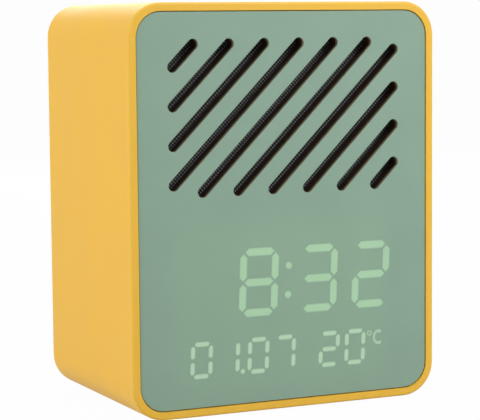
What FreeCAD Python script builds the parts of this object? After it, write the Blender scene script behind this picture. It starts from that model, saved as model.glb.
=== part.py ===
import FreeCAD, Part
import math
import os

# A talking clock: a rounded shell, a thin front panel with slanted sound slots
# over a speaker, and a segment display that shines through the panel.
# X runs to the right seen from the front, Y from the front to the back, and Z
# up from the plane that the feet stand on. The origin lies under the middle.

Vector = FreeCAD.Vector

# Shell of the housing
body_width = 87.0
body_height = 105.0
body_depth = 60.0
corner_radius = 8.8
wall = 2.3
front_edge_radius = 0.6
rear_edge_radius = 1.5

# Feet, glued into shallow pockets
foot_radius = 4.5
foot_height = 0.8
foot_pocket = 0.6
foot_pocket_gap = 0.1
foot_inset_x = 13.0
foot_inset_y = 11.0
foot_edge_radius = 0.3

# Columns in the four corners, which both covers screw to
column_radius = 3.6
column_inset = 4.6
column_web = 1.6
pilot_radius = 1.1
pilot_depth = 10.0
pilot_gap = 0.05

# Half the room between the columns. Where it or the height is other than
# usual, the pieces between the columns grow or shrink by the same share.
room_half_width = body_width / 2 - wall - column_inset - column_radius
usual_room_half_width = 33.0
usual_height = 105.0
across = room_half_width / usual_room_half_width
upward = body_height / usual_height

# Front panel, its tape and the frame behind it
panel_recess = 0.3
panel_gap = 0.2
panel_seat = 0.2
panel_thickness = 1.2
panel_edge_radius = 0.15
tape_thickness = 0.2
tape_margin = 1.4
frame_gap = 0.3
frame_thickness = 3.0

# Sound slots: a slanted row, cut off by an upright rectangle
slot_width = 2.8
slot_pitch = 7.0 * (across + upward) / 2
slot_count = 10
slot_angle = 45.0
slot_relief = 0.1
grille_half_width = 31.5 * across
grille_half_height = 18.6 * upward

# Screws: head radius, head height and length under the head
column_screw_head = 2.3
column_screw_head_height = 1.5
column_screw_length = 9.0
sunk_screw_length = 9.5
board_screw_radius = 0.9
board_screw_head = 1.9
board_screw_head_height = 1.2
board_screw_hole = 1.1
board_pilot_radius = 0.95
board_screw_tip_gap = 0.4
cross_length_share = 0.62
cross_width_share = 0.2
cross_depth_share = 0.5
head_edge_share = 0.3

# Speaker, on an axis along Y
cloth_thickness = 0.4
cloth_margin = 1.2
cloth_corner_radius = 6.0
gasket_thickness = 1.0
speaker_radius = 22.5 * upward
speaker_opening = 19.4 * upward
gasket_overhang = 0.2
flange_thickness = 1.0
basket_wall = 0.8
basket_depth = 11.3
basket_floor_radius = 14.0 * upward
basket_floor_opening = 8.0 * upward
basket_step = 1.2
basket_window_angle = 52.0
basket_window_count = 4
basket_window_margin = 1.0
ear_x = 14.0 * upward
ear_radius = 2.8
ear_roof_gap = 0.7
speaker_post_radius = 2.0
speaker_post_gap = 0.1
cone_radius = 17.4 * upward
cone_throat_radius = 6.5 * upward
cone_sink = 0.4
cone_depth = 6.4
cone_thickness = 0.6
roll_thickness = 0.4
cap_radius = 7.4 * upward
cap_rise = 2.3
cap_thickness = 0.4
coil_thickness = 0.5
coil_cone_gap = 0.05
coil_rise = 0.2
coil_reach = 1.6
pole_gap = 0.35
top_plate_gap = 0.4
spider_thickness = 0.4
spider_gap = 0.1
spider_lift = 2.2
top_plate_radius = 14.0 * upward
top_plate_thickness = 2.0
magnet_radius = 16.0 * upward
magnet_bore_gap = 2.9
magnet_thickness = 6.0
yoke_radius = 14.0 * upward
yoke_thickness = 2.0
terminal_width = 1.6
terminal_length = 8.0
terminal_height = 1.5
terminal_inset = 0.3

# Segment display: cells of seven segments, leaning to the right at the top
main_digit_width = 11.0 * across
main_digit_height = 17.6 * upward
main_segment = 2.0
main_segment_gap = 0.25
main_digit_pitch = 15.5 * across
main_left = -29.5 * across
main_bottom = -27.8 * upward
colon_extra = 1.7 * across
colon_radius = 0.9
colon_offset = 2.65 * across
colon_low = 5.0 * upward
colon_high = 12.6 * upward
small_digit_width = 6.1 * across
small_digit_height = 9.4 * upward
small_segment = 1.15
small_segment_gap = 0.5
small_digit_pitch = 7.65 * across
small_bottom = -42.7 * upward
day_left = -27.7 * across
month_left = -11.7 * across
degree_left = 8.9 * across
date_dot_x = -12.95 * across
date_dot_rise = 0.88 * upward
small_dot_radius = 0.6
degree_mark_x = 24.0 * across
degree_mark_rise = 7.8 * upward
degree_mark_radius = 0.65
celsius_left = 25.3 * across
celsius_width = 2.7 * across
celsius_height = 3.8 * upward
celsius_rise = 4.9 * upward
digit_slant = 2.4

# Mask, film, board and chips of the display
mask_side_gap = 0.8
mask_rise = 5.1
mask_drop = 7.8 * upward
mask_window_gap = 0.3
film_margin = 0.2
board_thickness = 1.6
display_post_length = 4.0
display_post_radius = 2.0
display_post_inset = 3.2
display_post_clear = 0.4
display_board_side = 0.4
display_board_margin = 2.3
led_length = 1.0
led_width = 0.5
led_height = 0.5
driver_width = 10.0
driver_length = 7.5
driver_height = 1.5
driver_x = 9.0 * across
driver_drop = 25.3 * upward

# Talk button in the roof, with its dome and its small board
button_half_span = 12.0 * across
button_radius = 6.5
button_gap = 0.25
button_recess = 0.2
button_edge_radius = 0.5
button_flange = 1.4
button_flange_thickness = 1.2
button_flange_gap = 0.1
button_skin = 1.6
button_pocket_half_span = 7.0 * across
button_pocket_radius = 4.5
rib_radius = 3.0
rib_length = 2.6
stem_x = 14.0 * across
stem_radius = 1.5
stem_gap = 0.1
stem_overhang = 0.7
dome_base_radius = 4.2
dome_top_radius = 3.0
dome_height = 2.5
dome_wall = 0.6
talk_boss_radius = 2.5
talk_boss_gap = 1.6
talk_board_end = 4.0
talk_board_half_depth = 8.0
talk_screw_length = 5.0

# Rear cover
cover_recess = 1.5
cover_gap = 0.2
cover_thickness = 2.2
cover_edge_radius = 0.4
well_radius = 2.6
well_depth = 4.2
well_floor = 1.4
screw_hole_radius = 1.3
vent_count = 5
vent_radius = 0.8
vent_length = 6.4
vent_pitch = 3.2
vent_rise = 12.0

# Main board, parallel to the rear cover, between the battery bay and the roof.
# What it carries is placed by how far it stands above its lower edge.
usual_board_height = 40.5
main_board_side = 3.0
main_board_bay_gap = 4.9
main_board_roof_gap = 9.0
main_post_length = 8.1
main_post_radius = 2.5
main_post_side = 3.5
main_post_inset = 3.2
main_screw_length = 7.0

# Rear keys and their switches
key_pitch = 14.0 * across
key_count = 4
key_rise = 30.0
key_radius = 4.0
key_gap = 0.2
key_proud = 0.8
key_edge_radius = 0.4
key_flange = 1.0
key_flange_thickness = 1.0
key_flange_gap = 0.1
key_stem_radius = 1.5
key_travel = 0.5
switch_size = 6.0
switch_height = 3.5
plunger_radius = 1.75
plunger_gap = 0.15
plunger_sink = 0.5
plunger_room = 0.2

# Alarm slide switch
alarm_x = -21.0 * across
alarm_rise = 14.0
alarm_travel = 4.0
knob_width = 5.0
knob_height = 3.5
knob_gap = 0.2
knob_proud = 0.8
knob_edge_radius = 0.3
knob_plate_overhang = 1.0
knob_plate_thickness = 0.8
knob_plate_gap = 0.2
knob_stem_size = 2.0
slide_body_width = 10.0
slide_body_height = 4.6
slide_body_depth = 3.6
slide_groove_depth = 0.9
slide_groove_gap = 0.15
knob_stem_sink = 0.6

# Power socket, upright on the main board
socket_x = 21.0 * across
socket_rise = 12.0
socket_half_span = 2.9
socket_radius = 1.6
socket_shell = 0.3
socket_sink = 0.2
socket_cavity_depth = 6.5
socket_tongue_width = 6.7
socket_tongue_height = 0.7
socket_tongue_length = 5.5
socket_hole_gap = 0.2

# Battery bay, for three slim cells lying along X
cell_radius = 5.25
cell_length = 44.5
cell_nub_radius = 2.75
cell_nub_length = 1.0
cell_pitch = 11.2
cell_count = 3
cell_rest_gap = 0.1
bay_rise = 26.9
bay_side_gap = 0.3
bay_end_wall = 1.25
bay_front_wall = 1.2
bay_depth = 11.45
ledge_overlap = 0.8
ledge_thickness = 1.5
ledge_gap = 0.05
contact_thickness = 0.4
contact_gap = 0.05
contact_half_width = 4.5
contact_low = 0.4
contact_high = 9.4
tab_rise = 3.6
tab_half_width = 1.2
tab_reach = 1.6
tab_gap = 0.1
spring_base_radius = 3.2
spring_top_radius = 2.0
spring_length = 6.05
spring_gap = 0.05

# Battery door, hinged on its lower edge
door_overhang = 2.25
door_half_height = 18.0
door_thickness = 1.8
door_gap = 0.3
hinge_pin_radius = 0.6
hinge_pin_length = 2.0
hinge_hole_gap = 0.08
hinge_end_gap = 0.2
notch_half_width = 6.0
notch_height = 2.5
notch_depth = 1.2
grip_count = 3
grip_pitch = 1.8
grip_half_width = 7.0
grip_radius = 0.4
grip_inset = 3.0

# Chips and other small pieces of the main board
speech_chip_size = 10.0
speech_chip_height = 1.6
speech_chip_x = -4.0 * across
speech_chip_rise = 24.0
clock_chip_size = 7.0
clock_chip_height = 1.2
clock_chip_x = 8.0 * across
clock_chip_rise = 8.0
crystal_radius = 1.0
crystal_length = 6.0
crystal_x = -7.0 * across
crystal_rise = 8.0
capacitor_radius = 3.1
capacitor_length = 7.0
capacitor_x = -18.0 * across
capacitor_rise = 20.0
capacitor_pitch = 8.0
capacitor_count = 2
connector_depth = 4.0
connector_height = 4.0
sensor_radius = 1.2
sensor_leg_radius = 0.3
sensor_leg_spread = 0.6
sensor_reach = 3.8

# Wires inside: radius, and where each one ends on the main board. A bend
# leaves a straight end of a run that it meets alone, and shares other runs.
wire_radius = 0.7
speaker_lead_radius = 0.9
lone_bend_share = 0.9
shared_bend_share = 0.45
straight_share = 0.28
wire_plug_run = 6.6
talk_lead_run = 8.6
plus_lead_drop = 8.0
speaker_plug_x = 27.0 * across
speaker_plug_rise = 18.0
speaker_plug_width = 5.0
talk_plug_x = 20.0 * across
talk_plug_rise = 32.0
talk_plug_width = 5.0
plus_plug_x = 26.5 * across
plus_plug_rise = 8.0
minus_plug_x = -32.0 * across
minus_plug_rise = 14.0
cell_plug_width = 4.0
ribbon_x = -22.0 * across
ribbon_width = 8.0
ribbon_thickness = 0.8
ribbon_drop = 15.3 * upward
ribbon_rise = 6.0
ribbon_plug_width = 10.0
ribbon_plug_height = 3.0
ribbon_plug_depth = 2.5

# How far a cutter runs past what it cuts, and how near counts as equal
overrun = 1.0
tolerance = 0.001
along_share = 0.5

# Places that follow from the sizes above
half_width = body_width / 2
front = -body_depth / 2
back = body_depth / 2
floor_outside = foot_height
roof_outside = foot_height + body_height
floor_inside = floor_outside + wall
roof_inside = roof_outside - wall
inner_half_width = half_width - wall
inner_radius = corner_radius - wall
middle_z = foot_height + body_height / 2
panel_front = front + panel_recess
panel_back = panel_front + panel_thickness
frame_front = panel_back + tape_thickness
frame_back = frame_front + frame_thickness
cover_back = back - cover_recess
cover_front = cover_back - cover_thickness
well_seat = cover_back - well_depth
column_back = well_seat - well_floor
column_x = room_half_width + column_radius
column_low = floor_inside + column_inset
column_high = roof_inside - column_inset
ear_z = grille_half_height + slot_width / 2 + cloth_margin + speaker_post_gap + speaker_post_radius
speaker_z = roof_inside - ear_roof_gap - ear_radius - ear_z
cloth_back = frame_back + cloth_thickness
flange_front = cloth_back + gasket_thickness
flange_back = flange_front + flange_thickness
top_plate_front = flange_front + basket_depth
magnet_front = top_plate_front + top_plate_thickness
yoke_front = magnet_front + magnet_thickness
yoke_back = yoke_front + yoke_thickness
mask_half_width = room_half_width - mask_side_gap
mask_low = floor_inside + mask_rise
mask_high = middle_z - mask_drop
display_post_x = mask_half_width - display_post_inset
display_board_half_width = mask_half_width + display_board_side
driver_z = middle_z - driver_drop
display_board_front = frame_back + display_post_length
display_board_back = display_board_front + board_thickness
main_board_back = cover_front - main_post_length
main_board_front = main_board_back - board_thickness
connector_face = main_board_front - connector_depth
button_top = roof_outside - button_recess
flange_top = roof_inside - button_flange_gap
flange_under = flange_top - button_flange_thickness
talk_board_top = flange_under - rib_length - dome_height
talk_board_under = talk_board_top - board_thickness
talk_boss_x = button_half_span + button_radius + button_flange + talk_boss_gap + talk_boss_radius
talk_board_half_width = talk_boss_x + talk_board_end
door_back = cover_back
door_front = door_back - door_thickness
bay_z = floor_inside + bay_rise
door_low = bay_z - door_half_height
hinge_y = door_back - door_thickness / 2
hinge_z = door_low + door_thickness / 2
ledge_back = door_front - ledge_gap
bay_floor = ledge_back - bay_depth
bay_half_height = cell_count * cell_pitch / 2 + bay_side_gap
bay_outer_half_height = door_half_height + door_gap + ledge_overlap
contact_face = (cell_length + spring_length + spring_gap) / 2
bay_half_length = contact_face + contact_thickness + contact_gap
door_half_length = bay_half_length + door_overhang
main_board_half_width = room_half_width + main_board_side
main_board_low = bay_z + bay_outer_half_height + main_board_bay_gap
main_board_high = roof_inside - main_board_roof_gap
main_post_x = main_board_half_width - main_post_side
board_upward = (main_board_high - main_board_low) / usual_board_height
vent_z = main_board_low + vent_rise * board_upward
key_z = main_board_low + key_rise * board_upward
alarm_z = main_board_low + alarm_rise * board_upward
socket_z = main_board_low + socket_rise * board_upward
speech_chip_z = main_board_low + speech_chip_rise * board_upward
clock_chip_z = main_board_low + clock_chip_rise * board_upward
crystal_z = main_board_low + crystal_rise * board_upward
capacitor_z = main_board_low + capacitor_rise * board_upward
speaker_plug_z = main_board_low + speaker_plug_rise * board_upward
talk_plug_z = main_board_low + talk_plug_rise * board_upward
plus_plug_z = main_board_low + plus_plug_rise * board_upward
minus_plug_z = main_board_low + minus_plug_rise * board_upward
ribbon_high_z = main_board_low + ribbon_rise * board_upward
ribbon_low_z = middle_z - ribbon_drop

x_axis = Vector(1, 0, 0)
y_axis = Vector(0, 1, 0)
z_axis = Vector(0, 0, 1)
os.makedirs("parts", exist_ok=True)


def block(corner, opposite):
    """A square-edged block between two opposite corners, in any order."""
    low = [min(pair) for pair in zip(corner, opposite)]
    high = [max(pair) for pair in zip(corner, opposite)]
    sides = [top - bottom for bottom, top in zip(low, high)]
    return Part.makeBox(*sides, Vector(*low))


def rod(start, end, radius):
    """A round rod between the centres of its two ends."""
    along = end - start
    return Part.makeCylinder(radius, along.Length, start, along)


def pill(start, end, radius, through):
    """A round-ended bar from its two end centres, drawn out along a vector."""
    along = (end - start).normalize()
    side = along.cross(through).normalize() * radius
    tip = along * radius
    outline = [
        Part.LineSegment(start + side, end + side),
        Part.Arc(end + side, end + tip, end - side),
        Part.LineSegment(end - side, start - side),
        Part.Arc(start - side, start - tip, start + side),
    ]
    wire = Part.Wire([piece.toShape() for piece in outline])
    return Part.Face(wire).extrude(through)


def rounded_block(half, low, high, near, far, radius):
    """A block centred on X whose four edges along Y are rounded."""
    solid = block((-half, near, low), (half, far, high))
    edges = [edge for edge in solid.Edges if abs(edge.tangentAt(edge.FirstParameter).y) > along_share]
    return solid.makeFillet(radius, edges)


def soften_at(solid, y, radius):
    """Round every edge that lies in one plane across Y."""
    edges = []
    for edge in solid.Edges:
        box = edge.BoundBox
        if abs(box.YMin - y) < tolerance and abs(box.YMax - y) < tolerance:
            edges.append(edge)
    return solid.makeFillet(radius, edges)


def soften_top(solid, z, radius):
    """Round every edge that lies in one level plane."""
    edges = []
    for edge in solid.Edges:
        box = edge.BoundBox
        if abs(box.ZMin - z) < tolerance and abs(box.ZMax - z) < tolerance:
            edges.append(edge)
    return solid.makeFillet(radius, edges)


def turned(outline):
    """A round piece on the speaker's axis, from points of radius and Y."""
    points = [Vector(radius, y, speaker_z) for radius, y in outline]
    face = Part.Face(Part.makePolygon(points + points[:1]))
    return face.revolve(Vector(0, 0, speaker_z), y_axis, 360)


def turned_arcs(outer, inner):
    """A round shell on the speaker's axis between two arcs of three points."""
    arcs = []
    for outline in (outer, inner):
        arcs.append([Vector(radius, y, speaker_z) for radius, y in outline])
    edges = [
        Part.Arc(*arcs[0]).toShape(),
        Part.LineSegment(arcs[0][2], arcs[1][2]).toShape(),
        Part.Arc(*arcs[1]).toShape(),
        Part.LineSegment(arcs[1][0], arcs[0][0]).toShape(),
    ]
    face = Part.Face(Part.Wire(Part.sortEdges(edges)[0]))
    return face.revolve(Vector(0, 0, speaker_z), y_axis, 360)


def corners(x, low, high):
    """The four places at plus and minus x, at two heights."""
    return [(side * x, z) for side in (-1, 1) for z in (low, high)]


def screw(seat, direction, head, head_height, shank, length):
    """A round-headed screw with a crossed recess, its head on the seat."""
    top = Vector(0, 0, -head_height)
    cap = soften_top(Part.makeCylinder(head, head_height, top), -head_height, head_height * head_edge_share)
    solid = cap.fuse(Part.makeCylinder(shank, length))
    reach = head * cross_length_share
    half = head * cross_width_share / 2
    depth = head_height * cross_depth_share
    for long_x, long_y in ((reach, half), (half, reach)):
        solid = solid.cut(block((-long_x, -long_y, -head_height), (long_x, long_y, depth - head_height)))
    solid.Placement = FreeCAD.Placement(seat, FreeCAD.Rotation(z_axis, direction))
    return solid


def slots(relief, near, far):
    """The slanted sound slots, widened all round by the relief."""
    lean = 1 / math.tan(math.radians(slot_angle))
    spread = slot_pitch / math.sin(math.radians(slot_angle))
    cutters = []
    for index in range(slot_count):
        shift = (index - (slot_count - 1) / 2) * spread
        low = max(-grille_half_height, (-grille_half_width - shift) / lean)
        high = min(grille_half_height, (grille_half_width - shift) / lean)
        if high > low:
            start = Vector(shift + low * lean, near, speaker_z + low)
            end = Vector(shift + high * lean, near, speaker_z + high)
            cutters.append(pill(start, end, slot_width / 2 + relief, y_axis * (far - near)))
    return cutters


def display_cells():
    """Every seven-segment cell: left, bottom, width, height, bar and gap."""
    cells = []
    for index in range(4):
        left = main_left + index * main_digit_pitch + (colon_extra if index > 1 else 0)
        bottom = middle_z + main_bottom
        cells.append((left, bottom, main_digit_width, main_digit_height, main_segment, main_segment_gap))
    for group_left in (day_left, month_left, degree_left):
        for index in range(2):
            left = group_left + index * small_digit_pitch
            bottom = middle_z + small_bottom
            size = (small_digit_width, small_digit_height)
            cells.append((left, bottom, *size, small_segment, small_segment_gap))
    return cells


def cell_segments(left, bottom, width, height, bar, gap):
    """The seven bars of a cell, as start and end of each centre line."""
    low = bottom + bar / 2
    middle = bottom + height / 2
    high = bottom + height - bar / 2
    west = left + bar / 2
    east = left + width - bar / 2
    bars = []
    for z in (low, middle, high):
        bars.append(((west + gap, z), (east - gap, z)))
    for x in (west, east):
        bars.append(((x, low + gap), (x, middle - gap)))
        bars.append(((x, middle + gap), (x, high - gap)))
    lean = math.tan(math.radians(digit_slant))
    return [[(x + (z - bottom) * lean, z) for x, z in bar_ends] for bar_ends in bars]


def segment_hole(start, end, bar, near, far):
    """A six-sided bar with pointed ends, from one depth to another."""
    first = Vector(start[0], near, start[1])
    last = Vector(end[0], near, end[1])
    along = (last - first).normalize() * (bar / 2)
    side = along.cross(y_axis)
    right_side = [first + along + side, last - along + side]
    left_side = [last - along - side, first + along - side]
    points = [first] + right_side + [last] + left_side
    return Part.Face(Part.makePolygon(points + points[:1])).extrude(y_axis * (far - near))


def display_dots():
    """The round marks: x, z and radius of the colon, the dot and the degree."""
    lean = math.tan(math.radians(digit_slant))
    colon_x = main_left + 2 * main_digit_pitch - colon_offset + colon_extra
    main_z = middle_z + main_bottom
    small_z = middle_z + small_bottom
    dots = [(colon_x + rise * lean, main_z + rise, colon_radius) for rise in (colon_low, colon_high)]
    dots.append((date_dot_x, small_z + date_dot_rise, small_dot_radius))
    dots.append((degree_mark_x, small_z + degree_mark_rise, degree_mark_radius))
    return dots


def celsius_bars():
    """The three bars of the small letter C after the degree ring."""
    low = middle_z + small_bottom + celsius_rise
    high = low + celsius_height
    right = celsius_left + celsius_width
    west = celsius_left + small_segment / 2
    return [((west, low), (right, low)), ((west, high), (right, high)), ((west, low), (west, high))]


def bent_wire(points):
    """Straight runs joined by tangent arcs, each as large as its runs allow."""
    edges = []
    start = points[0]
    for before, corner, after in zip(points, points[1:], points[2:]):
        run_in = corner - before
        run_out = after - corner
        half_turn = run_in.getAngle(run_out) / 2
        share_in = lone_bend_share if before == points[0] else shared_bend_share
        share_out = lone_bend_share if after == points[-1] else shared_bend_share
        reach = min(share_in * run_in.Length, share_out * run_out.Length)
        radius = reach / math.tan(half_turn)
        into = run_in.normalize()
        out = run_out.normalize()
        bulge = (out - into).normalize() * (radius / math.cos(half_turn) - radius)
        arc_start = corner - into * reach
        arc_end = corner + out * reach
        edges.append(Part.LineSegment(start, arc_start).toShape())
        edges.append(Part.Arc(arc_start, corner + bulge, arc_end).toShape())
        start = arc_end
        print("  bend radius %.1f mm" % radius)
    edges.append(Part.LineSegment(start, points[-1]).toShape())
    return Part.Wire(edges)


def lead(name, points, radius):
    """A round wire along a bent path, with its volume set against its length."""
    print(name)
    path = bent_wire(points)
    ring = Part.Wire(Part.Circle(points[0], points[1] - points[0], radius).toShape())
    solid = path.makePipeShell([ring], True, False)
    expected = math.pi * radius ** 2 * path.Length
    print("  length %.1f mm, volume ratio %.4f" % (path.Length, solid.Volume / expected))
    return solid


def export(name, solids):
    """Write one node, a single solid or a group of separate ones."""
    shape = solids if not isinstance(solids, list) else Part.makeCompound(solids)
    shape.exportStep("parts/" + name + ".step")
    print("%-20s solids %3d valid %s" % (name, len(shape.Solids), shape.isValid()))


def column(x, z):
    """One corner column, tied by two webs to the side wall and floor or roof."""
    wall_x = math.copysign(inner_half_width + wall / 2, x)
    wall_z = floor_inside - wall / 2 if z < middle_z else roof_inside + wall / 2
    post = rod(Vector(x, frame_back, z), Vector(x, column_back, z), column_radius)
    side_web = block((x, frame_back, z - column_web / 2), (wall_x, column_back, z + column_web / 2))
    flat_web = block((x - column_web / 2, frame_back, z), (x + column_web / 2, column_back, wall_z))
    return post.fuse([side_web, flat_web])


def make_casing():
    outside = rounded_block(half_width, floor_outside, roof_outside, front, back, corner_radius)
    outside = soften_at(outside, front, front_edge_radius)
    outside = soften_at(outside, back, rear_edge_radius)
    near = front - overrun
    far = back + overrun
    hollow = rounded_block(inner_half_width, floor_inside, roof_inside, near, far, inner_radius)
    seat = rounded_block(
        inner_half_width + panel_seat, floor_inside - panel_seat, roof_inside + panel_seat,
        near, frame_front, inner_radius + panel_seat,
    )
    casing = outside.cut([hollow, seat])
    places = corners(column_x, column_low, column_high)
    casing = casing.fuse([column(x, z) for x, z in places])
    bosses = []
    cutters = []
    for x, z in places:
        for start, step in ((frame_back, pilot_depth), (column_back, -pilot_depth)):
            mouth = Vector(x, start, z)
            cutters.append(rod(mouth, mouth + y_axis * step, pilot_radius))
    for side in (-1, 1):
        seat = Vector(side * talk_boss_x, 0, talk_board_top)
        bosses.append(rod(seat, Vector(seat.x, seat.y, roof_inside + wall / 2), talk_boss_radius))
        cutters.append(rod(seat, seat + z_axis * talk_screw_length, board_pilot_radius))
    for x, y in foot_places():
        mouth = Vector(x, y, floor_outside)
        pocket_radius = foot_radius + foot_pocket_gap
        cutters.append(rod(mouth - z_axis * overrun, mouth + z_axis * foot_pocket, pocket_radius))
    start = Vector(-button_half_span, 0, roof_inside - overrun)
    end = Vector(button_half_span, 0, roof_inside - overrun)
    through = z_axis * (wall + 2 * overrun)
    cutters.append(pill(start, end, button_radius + button_gap, through))
    return casing.fuse(bosses).cut(cutters).removeSplitter()


def foot_places():
    x = half_width - foot_inset_x
    y = back - foot_inset_y
    return [(side * x, end * y) for side in (-1, 1) for end in (-1, 1)]


def make_feet():
    feet = []
    for x, y in foot_places():
        foot = rod(Vector(x, y, 0), Vector(x, y, foot_height + foot_pocket), foot_radius)
        feet.append(soften_top(foot, 0, foot_edge_radius))
    return feet


def make_front_panel():
    inset = panel_gap - panel_seat
    half = inner_half_width - inset
    low = floor_inside + inset
    high = roof_inside - inset
    panel = rounded_block(half, low, high, panel_front, panel_back, inner_radius - inset)
    panel = panel.cut(slots(0, panel_front - overrun, panel_back + overrun))
    return soften_at(panel, panel_front, panel_edge_radius)


def mask_block(margin, near, far):
    """The space of the display mask, grown all round by a margin."""
    return block(
        (-mask_half_width - margin, near, mask_low - margin),
        (mask_half_width + margin, far, mask_high + margin),
    )


def make_panel_tape():
    half = inner_half_width - panel_gap - tape_margin
    low = floor_inside + panel_gap + tape_margin
    high = roof_inside - panel_gap - tape_margin
    radius = inner_radius - panel_gap - tape_margin
    tape = rounded_block(half, low, high, panel_back, frame_front, radius)
    grille_x = grille_half_width + slot_width / 2 + tape_margin
    grille_z = grille_half_height + slot_width / 2 + tape_margin
    near = panel_back - overrun
    far = frame_front + overrun
    opening = block((-grille_x, near, speaker_z - grille_z), (grille_x, far, speaker_z + grille_z))
    return tape.cut([opening, mask_block(mask_window_gap, near, far)])


def display_post_places():
    low = mask_low - display_post_clear - display_post_radius
    high = mask_high + display_post_clear + display_post_radius
    return corners(display_post_x, low, high)


def speaker_ear_places():
    return corners(ear_x, speaker_z - ear_z, speaker_z + ear_z)


def make_front_frame():
    half = inner_half_width - frame_gap
    low = floor_inside + frame_gap
    high = roof_inside - frame_gap
    frame = rounded_block(half, low, high, frame_front, frame_back, inner_radius - frame_gap)
    near = frame_front - overrun
    far = frame_back + overrun
    cutters = slots(slot_relief, near, far)
    cutters.append(mask_block(mask_window_gap, near, far))
    posts = []
    for x, z in display_post_places():
        posts.append(rod(Vector(x, frame_back, z), Vector(x, display_board_front, z), display_post_radius))
        pilot_end = frame_back - frame_thickness / 2
        cutters.append(rod(Vector(x, pilot_end, z), Vector(x, display_board_front, z), board_pilot_radius))
    for x, z in speaker_ear_places():
        posts.append(rod(Vector(x, frame_back, z), Vector(x, flange_front, z), speaker_post_radius))
        pilot_end = frame_back - frame_thickness / 2
        cutters.append(rod(Vector(x, pilot_end, z), Vector(x, flange_front, z), board_pilot_radius))
    for x, z in corners(column_x, column_low, column_high):
        seat = Vector(x, frame_front, z)
        past = seat + y_axis * (frame_thickness + overrun)
        cutters.append(rod(seat - y_axis * overrun, past, screw_hole_radius))
        cutters.append(sunk_head(seat, pilot_gap))
    return frame.fuse(posts).cut(cutters)


def sunk_head(seat, gap):
    """The cone of a countersunk head, as tall as its radius is wide."""
    height = column_screw_head - pilot_radius
    return Part.makeCone(column_screw_head + gap, pilot_radius + gap, height, seat, y_axis)


def make_front_screws():
    screws = []
    for x, z in corners(column_x, column_low, column_high):
        seat = Vector(x, frame_front, z)
        shank = rod(seat, seat + y_axis * sunk_screw_length, pilot_radius - pilot_gap)
        reach = column_screw_head * cross_length_share
        half = column_screw_head * cross_width_share / 2
        depth = column_screw_head_height * cross_depth_share
        cross = []
        for wide, tall in ((reach, half), (half, reach)):
            low = (x - wide, frame_front, z - tall)
            cross.append(block(low, (x + wide, frame_front + depth, z + tall)))
        screws.append(sunk_head(seat, 0).fuse(shank).cut(cross))
    return screws


def make_speaker_cloth():
    half = grille_half_width + slot_width / 2 + cloth_margin
    tall = grille_half_height + slot_width / 2 + cloth_margin
    low = speaker_z - tall
    high = speaker_z + tall
    return rounded_block(half, low, high, frame_back, cloth_back, cloth_corner_radius)


def make_speaker_gasket():
    rim = speaker_radius - gasket_overhang
    return ring(speaker_opening, rim, cloth_back, flange_front)


def make_speaker_basket():
    floor_front = top_plate_front - basket_wall
    step_front = floor_front - basket_step
    inner_floor = basket_floor_radius - basket_wall
    shoulder = speaker_opening + flange_thickness
    outline = [
        (speaker_opening, flange_front),
        (speaker_radius, flange_front),
        (speaker_radius, flange_back),
        (shoulder, flange_back),
        (basket_floor_radius, step_front),
        (basket_floor_radius, top_plate_front),
        (basket_floor_opening, top_plate_front),
        (basket_floor_opening, floor_front),
        (inner_floor, floor_front),
        (inner_floor, step_front),
        (speaker_opening, flange_back),
    ]
    basket = turned(outline)
    window_front = flange_back + basket_window_margin
    window_depth = step_front - basket_window_margin - window_front
    cutters = []
    for index in range(basket_window_count):
        base = Vector(0, window_front, speaker_z)
        sector = Part.makeCylinder(speaker_radius, window_depth, base, y_axis, basket_window_angle)
        sector.rotate(base, y_axis, (index + 0.5) * 360 / basket_window_count - basket_window_angle / 2)
        cutters.append(sector)
    ears = []
    for x, z in speaker_ear_places():
        rim = speaker_z + math.copysign(speaker_opening + flange_thickness, z - speaker_z)
        through = y_axis * flange_thickness
        bar = pill(Vector(x, flange_front, z), Vector(x, flange_front, rim), ear_radius, through)
        middle = rod(Vector(0, flange_front, speaker_z), Vector(0, flange_back, speaker_z), speaker_opening)
        ears.append(bar.cut(middle))
        hole = Vector(x, flange_front - overrun, z)
        cutters.append(rod(hole, hole + y_axis * (flange_thickness + 2 * overrun), board_screw_hole))
    return basket.fuse(ears).cut(cutters).removeSplitter()


def cone_face_y(radius):
    """Where the front of the cone lies at a radius."""
    share = (radius - cone_throat_radius) / (cone_radius - cone_throat_radius)
    return flange_front + cone_sink + cone_depth * (1 - share)


def make_speaker_cone():
    outline = [
        (cone_throat_radius, cone_face_y(cone_throat_radius)),
        (cone_radius, cone_face_y(cone_radius)),
        (cone_radius, cone_face_y(cone_radius) + cone_thickness),
        (cone_throat_radius, cone_face_y(cone_throat_radius) + cone_thickness),
    ]
    return turned(outline)


def make_speaker_surround():
    y = cone_face_y(cone_radius) + cone_thickness / 2
    middle = (cone_radius + speaker_opening) / 2
    roll = (speaker_opening - cone_radius) / 2
    outer = [(middle - roll, y), (middle, y - roll), (middle + roll, y)]
    slim = roll - roll_thickness
    inner = [(middle - slim, y), (middle, y - slim), (middle + slim, y)]
    return turned_arcs(outer, inner)


def make_dust_cap():
    rim = cone_face_y(cap_radius)
    apex = rim - cap_rise
    inner_radius_here = cap_radius - cap_thickness
    outer_chord = (cap_radius ** 2 + cap_rise ** 2) / (2 * cap_rise)
    half_radius = cap_radius / 2
    half_drop = outer_chord - math.sqrt(outer_chord ** 2 - half_radius ** 2)
    inner_rise = cap_rise - cap_thickness
    inner_chord = (inner_radius_here ** 2 + inner_rise ** 2) / (2 * inner_rise)
    inner_half = inner_radius_here / 2
    inner_drop = inner_chord - math.sqrt(inner_chord ** 2 - inner_half ** 2)
    outer = [(cap_radius, rim), (half_radius, apex + half_drop), (0, apex)]
    inner_apex = apex + cap_thickness
    inner = [(inner_radius_here, rim), (inner_half, inner_apex + inner_drop), (0, inner_apex)]
    return turned_arcs(outer, inner)


def coil_radii():
    outer = cone_throat_radius - coil_cone_gap
    return outer - coil_thickness, outer


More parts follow.
